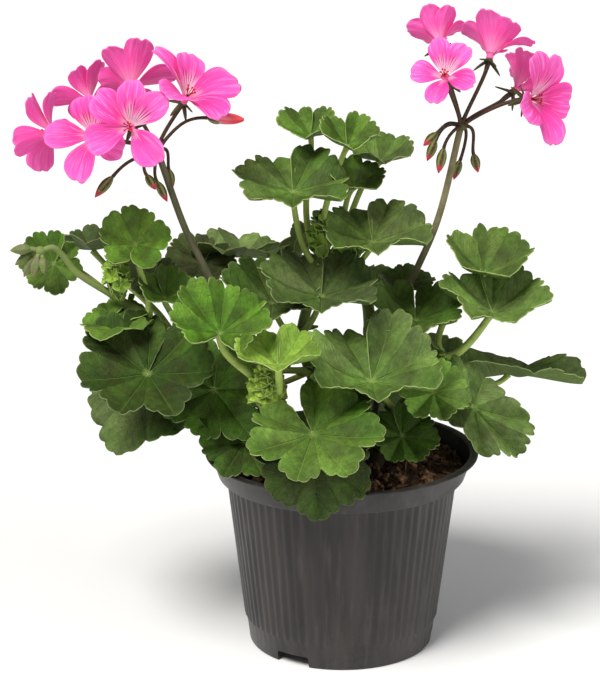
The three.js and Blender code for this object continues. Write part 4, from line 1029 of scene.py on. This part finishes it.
def petalShape(flower, place, rng):
    axis, out = flower["axis"], around(flower, math.radians(place))
    side = np.cross(axis, out)
    first, last = math.radians(flower["spread"] - 22), math.radians(flower["spread"] + 18)
    arc = flower["petal"] * flower["scale"] / (last - first)
    upper = float(abs((place + 180) % 360 - 180) < 60)
    long, luck, shift = 1 + rng.normal(0, 0.025), rng.random(), rng.random(3) * 6.28
    bend, twist = rng.normal(0, 0.06), rng.normal(0, 0.1) + 0.14
    broad = flower["width"] * (0.88 if upper else 1) * (1 + rng.normal(0, 0.04))

    def shape(x, y):
        notch = 0.035 * np.exp(-((x / 0.16) ** 2))
        corner = 1 - 0.2 * abs(x) ** 2.6 + 0.022 * np.cos(x * 3 + shift[0]) - notch
        s = y * corner * long
        lean = first + (last - first) * s + bend * s**2
        rise, away = arc * (np.sin(lean) - math.sin(first)), arc * (math.cos(first) - np.cos(lean))
        half = flower["petal"] * flower["scale"] * broad * np.sin(np.pi * 0.6 * y**1.2)
        half = half + flower["claw"] * (1 - y)
        curl = 0.28 * half * x**2 + twist * half * x
        curl = curl + 0.35 * y**2 * np.sin(x * 4.5 + shift[1]) + 0.28 * y**3 * np.sin(x * 11 + shift[2])
        curl = curl - 1.3 * flower["scale"] * y**5
        inner = axis * np.sin(lean)[:, None] - out * np.cos(lean)[:, None]
        points = flower["at"] + axis * rise[:, None] + out * (away + flower["throat"])[:, None]
        points = points + side * (half * x)[:, None] + inner * curl[:, None]
        facts = dict(
            petal=np.stack([y, x, np.full(len(x), upper)], -1),
            look=np.broadcast_to([luck, flower["scale"], 0], (len(x), 3)),
        )
        return points, facts

    return shape


def petalPaint(name, under=False):
    # Painted glow: a faint pink emission in the petals, standing in for light coming through them.
    paint = Paint(name, Specular_IOR_Level=0.18, Emission_Color=pinks["paintedGlow"], Emission_Strength=0.09)
    s, w, upper = paint.stored("petal")
    luck = paint.stored("look")[0]
    soft = paint.noise(60, 3)
    # Toward the petal base the pink deepens: partly the petal's own colour, partly painted shade.
    pink, deepAndShaded = paint.mix(luck, *pinks["main"]), paint.mix(luck, *pinks["deepAndShaded"])
    colour = paint.mix((s - 0.2 + (soft - 0.5) * 0.8).step(0, 0.8), deepAndShaded, pink)
    fan = (w * 7.5 + (paint.noise(120, 2) - 0.5) * 0.7).wrapped() - 0.5
    rays = 1 - fan.size().step(0.03, 0.2)
    colour = paint.mix(rays * (0.42 - s * 0.22), colour, pinks["ray"])
    # Painted sheen and shade: pale pink streaks along the petal for highlights, dark magenta streaks for the
    # shade between petals.
    sheenAndShadeStreaks = paint.noise(5, 3, 0.6, paint.node("CombineXYZ", {}, {0: w * 1.6, 1: s * 0.35, 2: luck * 7}))
    colour = paint.mix(sheenAndShadeStreaks.step(0.5, 0.72) * 0.5, colour, pinks["pale"])
    colour = paint.mix((1 - sheenAndShadeStreaks.step(0.3, 0.46)) * 0.5, colour, pinks["dark"])
    edge = (s + (soft - 0.5) * 0.06).step(0.86, 1.0)
    colour = paint.mix(edge * 0.3, colour, pinks["edge"])
    ray = paint.noise(30, 2, 0.5, paint.node("CombineXYZ", {}, {0: w * 0.3, 1: s * 0.03, 2: luck}))
    base = 1 - (s - ray * 0.55 + 0.27 + w.size() * 0.12).step(0.08, upper * 0.26 + 0.36)
    colour = paint.mix(base * (0.45 + upper * 0.5) * (0.45 if under else 1), colour, pinks["throat"])
    if not under:
        spread = 1 - (w.size() + (soft - 0.5) * 0.4).step(0.45, 0.75)
        reach = s.step(0.07, 0.14) * (1 - (s + ray * 0.5 - 0.25).step(0.4, 0.56))
        lines = (w * 3.4 + 0.5 + (soft - 0.5) * 0.3).wrapped() - 0.5
        dark = (1 - lines.size().step(0.05, 0.24)) * reach * spread * upper
        colour = paint.mix(dark * 0.95, colour, pinks["lines"])
    else:
        colour = paint.mix(0.4, colour, pinks["under"])
    grain = paint.noise(1300, 2)
    return paint.finish(colour, 0.46 + grain * 0.12, rays * 0.5 + grain * 0.35, strength=0.4, distance=0.25)


def stamenPaint():
    paint = Paint("stamens", Specular_IOR_Level=0.3)
    tint = paint.noise(700, 2)
    return paint.finish(paint.mix(tint, (0.32, 0.006, 0.015), (0.62, 0.03, 0.025)), 0.5, tint)


def stalkPaint(name):  # from the green-brown of the stalk to the red-brown of the pedicels
    paint = Paint(name, Specular_IOR_Level=0.35)
    kind, shade = paint.stored("look")[:2]
    patch = paint.noise(160, 4, 0.6)
    down = paint.noise(1400, 2)
    x, _, z = paint.apart(paint.place())
    streak = paint.noise(260, 3, 0.6, paint.drawnOut(0.1))
    tan = paint.mix(patch.step(0.35, 0.65), (0.17, 0.125, 0.07), (0.25, 0.2, 0.12))
    dusk = paint.mix(streak.step(0.35, 0.65), (0.045, 0.032, 0.022), (0.095, 0.075, 0.05))
    high = (z - 0.19 + (patch - 0.5) * 0.05).step(-0.02, 0.03)
    main = paint.mix(high * (x + 0.03).step(0, 0.01), dusk, tan)  # the right stalk is tan further up
    thin = paint.mix(patch.step(0.35, 0.65), (0.028, 0.008, 0.007), (0.06, 0.022, 0.014))
    sepal = paint.mix(patch, (0.03, 0.024, 0.008), (0.07, 0.055, 0.016))
    colour = paint.mix(kind.step(0.1, 0.4), main, thin)
    colour = paint.mix(kind.step(0.6, 0.9), colour, sepal)
    colour = paint.mix(shade, colour, paint.mix(patch.step(0.45, 0.7), (0.2, 0.3, 0.055), (0.24, 0.26, 0.11)))
    colour = paint.mix(down.step(0.55, 0.8) * 0.22, colour, (0.36, 0.32, 0.25))
    return paint.finish(colour, 0.6, patch * 0.6 + down * 0.4, strength=0.6, distance=0.4)


def budPaint(name):  # ribbed green or mauve buds with a red tip
    paint = Paint(name, Specular_IOR_Level=0.35)
    along, rib, mauve = paint.stored("bud")
    patch = paint.noise(220, 3)
    down = paint.noise(1500, 2)
    green = paint.mix(patch, (0.1, 0.15, 0.018), (0.23, 0.29, 0.055))
    brown = paint.mix(patch, (0.04, 0.018, 0.009), (0.11, 0.05, 0.022))
    colour = paint.mix((rib + (patch - 0.5) * 0.6).step(0.1, 0.75), green, brown)
    closed = paint.mix(patch.step(0.45, 0.7), (0.12, 0.19, 0.04), (0.17, 0.12, 0.08))
    colour = paint.mix(mauve, colour, closed)
    tip = (along + (patch - 0.5) * 0.25).step(0.6, 0.85) * (1 - mauve)
    colour = paint.mix(tip, colour, paint.mix(rib, (0.55, 0.03, 0.03), (0.5, 0.015, 0.07)))
    colour = paint.mix(down.step(0.5, 0.8) * 0.3, colour, (0.5, 0.5, 0.38))
    return paint.finish(colour, 0.55, down * 0.5 - rib * 0.4, strength=0.6, distance=0.35)


def openingPaint():  # the rolled petals of a bud about to open
    paint = Paint("openingBud", Specular_IOR_Level=0.25)
    along, rib = paint.stored("bud")[:2]
    patch = paint.noise(170, 3)
    colour = paint.mix((along + (patch - 0.5) * 0.5).step(0.25, 0.8), (0.86, 0.28, 0.36), (0.8, 0.075, 0.08))
    colour = paint.mix((rib + (patch - 0.5) * 0.5).step(0.6, 1) * 0.6, colour, (0.62, 0.02, 0.1))
    return paint.finish(colour, 0.5, patch - rib, strength=0.6, distance=0.3)


def makeFlower(name, given, grid, paints, rng):
    flower = flowerFrame(given)
    petals = [bent(grid, petalShape(flower, place, rng)) for place in flower["places"]]
    sheet = joined(name, petals)
    finished(sheet, paints["petalUnder"], paints["petal"], paints["petal"])
    applied(sheet, "SOLIDIFY", thickness=floret["sheet"] * mm, offset=0, material_offset=1,
            material_offset_rim=2)
    axis, at = flower["axis"], flower["at"]
    throat = tubes("throat", [(np.array([at - axis * 3.1, at - axis * 1.2, at + axis * 0.3, at + axis * 0.7]),
                              [1.5, 1.75, 1.5, 0.4])], paints["petalUnder"], 3)
    keep(throat, petal=(0.12, 0, 0), look=(0.5, 1, 0))
    runs = []
    for i in range(7):
        out = around(flower, i * goldenAngle)
        tall = (4.2 + 1.6 * rng.random()) * flower["scale"]
        lean = 0.35 + 0.5 * rng.random()
        u = np.linspace(0, 1, 7)[:, None]
        path = at + axis * tall * u + out * (0.35 + lean * tall * 0.5 * u**2)
        runs.append((path, [0.22, *[0.2] * 6]))
        end = path[-1]
        runs.append((end + np.outer(np.linspace(-0.6, 0.6, 5), out), [0.2, 0.42, 0.48, 0.42, 0.2]))
    stamens = tubes("stamens", runs, paints["stamen"], 1)
    keep(stamens, petal=(0, 0, 0), look=(0, 0, 0))
    piece = joined(name, [sheet, throat, stamens])
    rounded(piece)
    return piece


def makeSepals(flower, strip, paint, rng):
    axis = flower["axis"]
    seat = flower["at"] - axis * (flower["receptacle"] + 0.1)
    sepals = []
    for i in range(5):
        out = around(flower, (2 * i + 1) / 10 * 2 * math.pi + rng.normal(0, 0.05))
        side = np.cross(axis, out)
        lean = 0.62 + rng.normal(0, 0.1)

        def shape(x, y, out=out, side=side, lean=lean):
            half = 1.45 * np.clip(1 - y, 0, 1) ** 0.75 * (0.7 + 0.6 * y) + 0.1
            away = flower["sepal"] * y * math.cos(lean) + 0.7
            back = flower["sepal"] * y**1.25 * math.sin(lean)
            points = seat + out * away[:, None] - axis * (back + 0.3 * x**2)[:, None]
            points = points + side * (half * x)[:, None]
            return points, dict(look=np.broadcast_to([1.0, 0.05, 0.5], (len(x), 3)))

        sepals.append(bent(strip, shape))
    piece = joined("sepals", sepals)
    finished(piece, paint)
    return applied(piece, "SOLIDIFY", thickness=0.45 * mm, offset=0)


def makeBud(name, base, to, radius, kind, paints):  # five ribs that run to a point
    base, to = np.array(base, float), np.array(to, float)
    way = unit(to - base)
    long = np.linalg.norm(to - base)
    across = unit(np.cross(way, (0.3, 1, 0.2)))
    over = np.cross(way, across)
    columns, rows = 40, 16
    grid = sheetGrid(columns, rows)

    def shape(x, y):
        turn = (x + 1) * math.pi
        rib = np.cos(turn * 5) * 0.5 + 0.5
        body = np.sin(np.pi * np.clip(y, 0.03, 0.985) ** 0.85) ** (0.75 - kind.get("blunt", 0) * 0.6)
        pinch = 1 - 0.1 * rib
        twist = turn + y * kind.get("twist", 0.15)
        r = radius * body * pinch
        points = base + way * (long * y)[:, None]
        points = points + across * (r * np.cos(twist))[:, None] + over * (r * np.sin(twist))[:, None]
        return points, dict(
            bud=np.stack([y, rib, np.full(len(x), kind.get("mauve", 0))], -1),
            petal=np.stack([0.5 + 0.3 * y, np.sin(turn * 2.5), y * 0], -1),
            look=np.broadcast_to([0.3, 1, 0], (len(x), 3)),
        )

    piece = bent(grid, shape)
    bpy.data.objects.remove(grid)
    piece.name = name
    select(piece)
    bpy.ops.object.mode_set(mode="EDIT")
    bpy.ops.mesh.select_all(action="SELECT")
    bpy.ops.mesh.remove_doubles(threshold=0.01 * mm)
    bpy.ops.mesh.fill_holes(sides=columns + 2)
    bpy.ops.mesh.select_all(action="SELECT")
    bpy.ops.mesh.normals_make_consistent(inside=False)
    bpy.ops.object.mode_set(mode="OBJECT")
    finished(piece, paints["opening"] if kind.get("pink") else paints["bud"])
    rounded(piece)
    return piece


def makeUmbel(name, umbel, grid, strip, paints):
    stem = stems[umbel["stem"]]
    first = np.array(umbel["stalk"][0], float)
    centre = pointAt(stem["path"], umbel["t"])
    tangent = wayAt(stem["path"], umbel["t"])
    out = unit((first - centre) - tangent * np.dot(first - centre, tangent))
    foot = centre + out * (np.interp(umbel["t"], stem["shares"], stem["thick"]) - 0.4)
    hub = np.array(umbel["hub"], float)
    path = smoothPath([foot, foot + out * 3.7, *umbel["stalk"], hub], 14)
    u = np.linspace(0, 1, len(path))
    main = tubes("stalk", [(path, 1.9 - 0.35 * u + 0.8 * np.exp(-((u / 0.03) ** 2)))], paints["stalk"], 5)
    keep(main, look=(0, 0.15, 0))
    rise = unit(path[-1] - path[-4])
    knob = tubes("hub", [(hub + np.outer([-1.8, -0.8, 0.4, 1.4, 2], rise),
                          [1.6, 2.6, 2.7, 1.9, 0.6])], paints["stalk"], 4)
    keep(knob, look=(0.45, 0.3, 0))
    pieces, runs = [main, knob], []
    for number, given in enumerate(umbel["florets"]):
        rng = np.random.default_rng(floret["seed"] * 50 + number + len(umbel["florets"]))
        flower = flowerFrame(given)
        seat = flower["at"] - flower["axis"] * (flower["receptacle"] + 0.6)
        leave = unit(unit(seat - hub) + 0.3 * rise)
        start = hub + leave * 1.5
        reach = np.linalg.norm(seat - start) * 0.3
        line = bezierPath(start, start + leave * reach, seat - flower["axis"] * reach, seat)
        v = np.linspace(0, 1, len(line))
        runs.append((line, 0.95 - 0.1 * v + 0.25 * v**6 + 0.25 * np.exp(-((v / 0.08) ** 2))))
        cup = tubes("cup", [(seat + np.outer([-0.6, 0, 0.7, 1.4], flower["axis"]), [0.9, 1.5, 2, 1.7])],
                    paints["stalk"], 3)
        keep(cup, look=(0.85, 0.1, 0))
        pieces += [cup, makeSepals(flower, strip, paints["stalk"], rng)]
        placed(makeFlower(f"flower{name.capitalize()}{number + 1}", given, grid, paints, rng),
               "petal", f"bloom_{name}_{number + 1}")
    for given in umbel["buds"]:
        base, to = np.array(given["base"], float), np.array(given["to"], float)
        hang = unit(to - base)
        leave = unit(np.array(given["leave"], float))
        start = hub + leave * 1.5
        reach = np.linalg.norm(base - start)
        line = bezierPath(start, start + leave * reach * 0.5, base - hang * reach * 0.35, base)
        v = np.linspace(0, 1, len(line))
        runs.append((line, 0.85 - 0.15 * v + 0.3 * np.exp(-((v / 0.08) ** 2)) + 0.2 * v**8))
        if given.get("pink"):
            kind = dict(pink=True, twist=0.7, blunt=0.5)
            opening = makeBud("openingBud", base + hang * 0.2, to, 2.8, kind, paints)
            placed(opening, "petal", "bloom_left_bud")
            pieces.append(makeBud("cup", base - hang * 0.6, base + hang * 9.5, 2.9, {}, paints))
        else:
            radius = given["radius"] * 1.08
            pieces.append(makeBud("bud", base - hang * 0.3, to + hang * 0.3, radius, {}, paints))
    thin = tubes("pedicels", runs, paints["stalk"], 3)
    keep(thin, look=(0.45, 0.05, 0))
    pieces.append(thin)
    piece = joined("stalk" + name.capitalize(), pieces)
    rounded(piece)
    placed(piece, "flower_stalk", "flower_stalk_" + name)


def makeHead(paints):
    stem = stems["left"]["path"]
    way = unit(stem[-1] - stem[-3])
    path = smoothPath([stem[-1] - way * 0.4, *head["stalk"]], 14)
    u = np.linspace(0, 1, len(path))
    main = tubes("headStalk", [(path, 1.75 - 0.5 * u)], paints["stalk"], 5)
    keep(main, look=(0, 0.75, 0))
    hub = np.array(head["stalk"][-1], float)
    knob = tubes("knob", [(hub + np.outer([-2, -1, 0.3, 1.6, 2.3], unit(path[-1] - path[-4])),
                           [1.2, 2.2, 2.6, 2.2, 1])], paints["stalk"], 4)
    keep(knob, look=(0, 0.75, 0))
    pieces, runs = [main, knob], []
    for base, to in head["buds"]:
        base, to = np.array(base, float), np.array(to, float)
        hang = unit(to - base)
        runs.append((bezierPath(hub, hub + unit(base - hub) * 1.5, base - hang, base + hang, 8), [1.1] * 8))
        kind = dict(mauve=0.92)
        pieces.append(makeBud("bud", base - hang * 0.8, to + hang * 0.4, head["radius"], kind, paints))
    thin = tubes("headPedicels", runs, paints["stalk"], 3)
    keep(thin, look=(0, 0.75, 0))
    piece = joined("noddingHead", [*pieces, thin])
    rounded(piece)
    placed(piece, "young_leaf", "bud_head")


def makeFlowers():
    paints = dict(
        petal=petalPaint("petal"), petalUnder=petalPaint("petalUnder", under=True), stamen=stamenPaint(),
        stalk=stalkPaint("flowerStalk"), bud=budPaint("bud"), opening=openingPaint(),
    )
    grid, strip = sheetGrid(26, 24), sheetGrid(6, 10)
    for name, umbel in umbels.items():
        makeUmbel(name, umbel, grid, strip, paints)
    makeHead(paints)
    for piece in (grid, strip):
        bpy.data.objects.remove(piece)


makeFlowers()
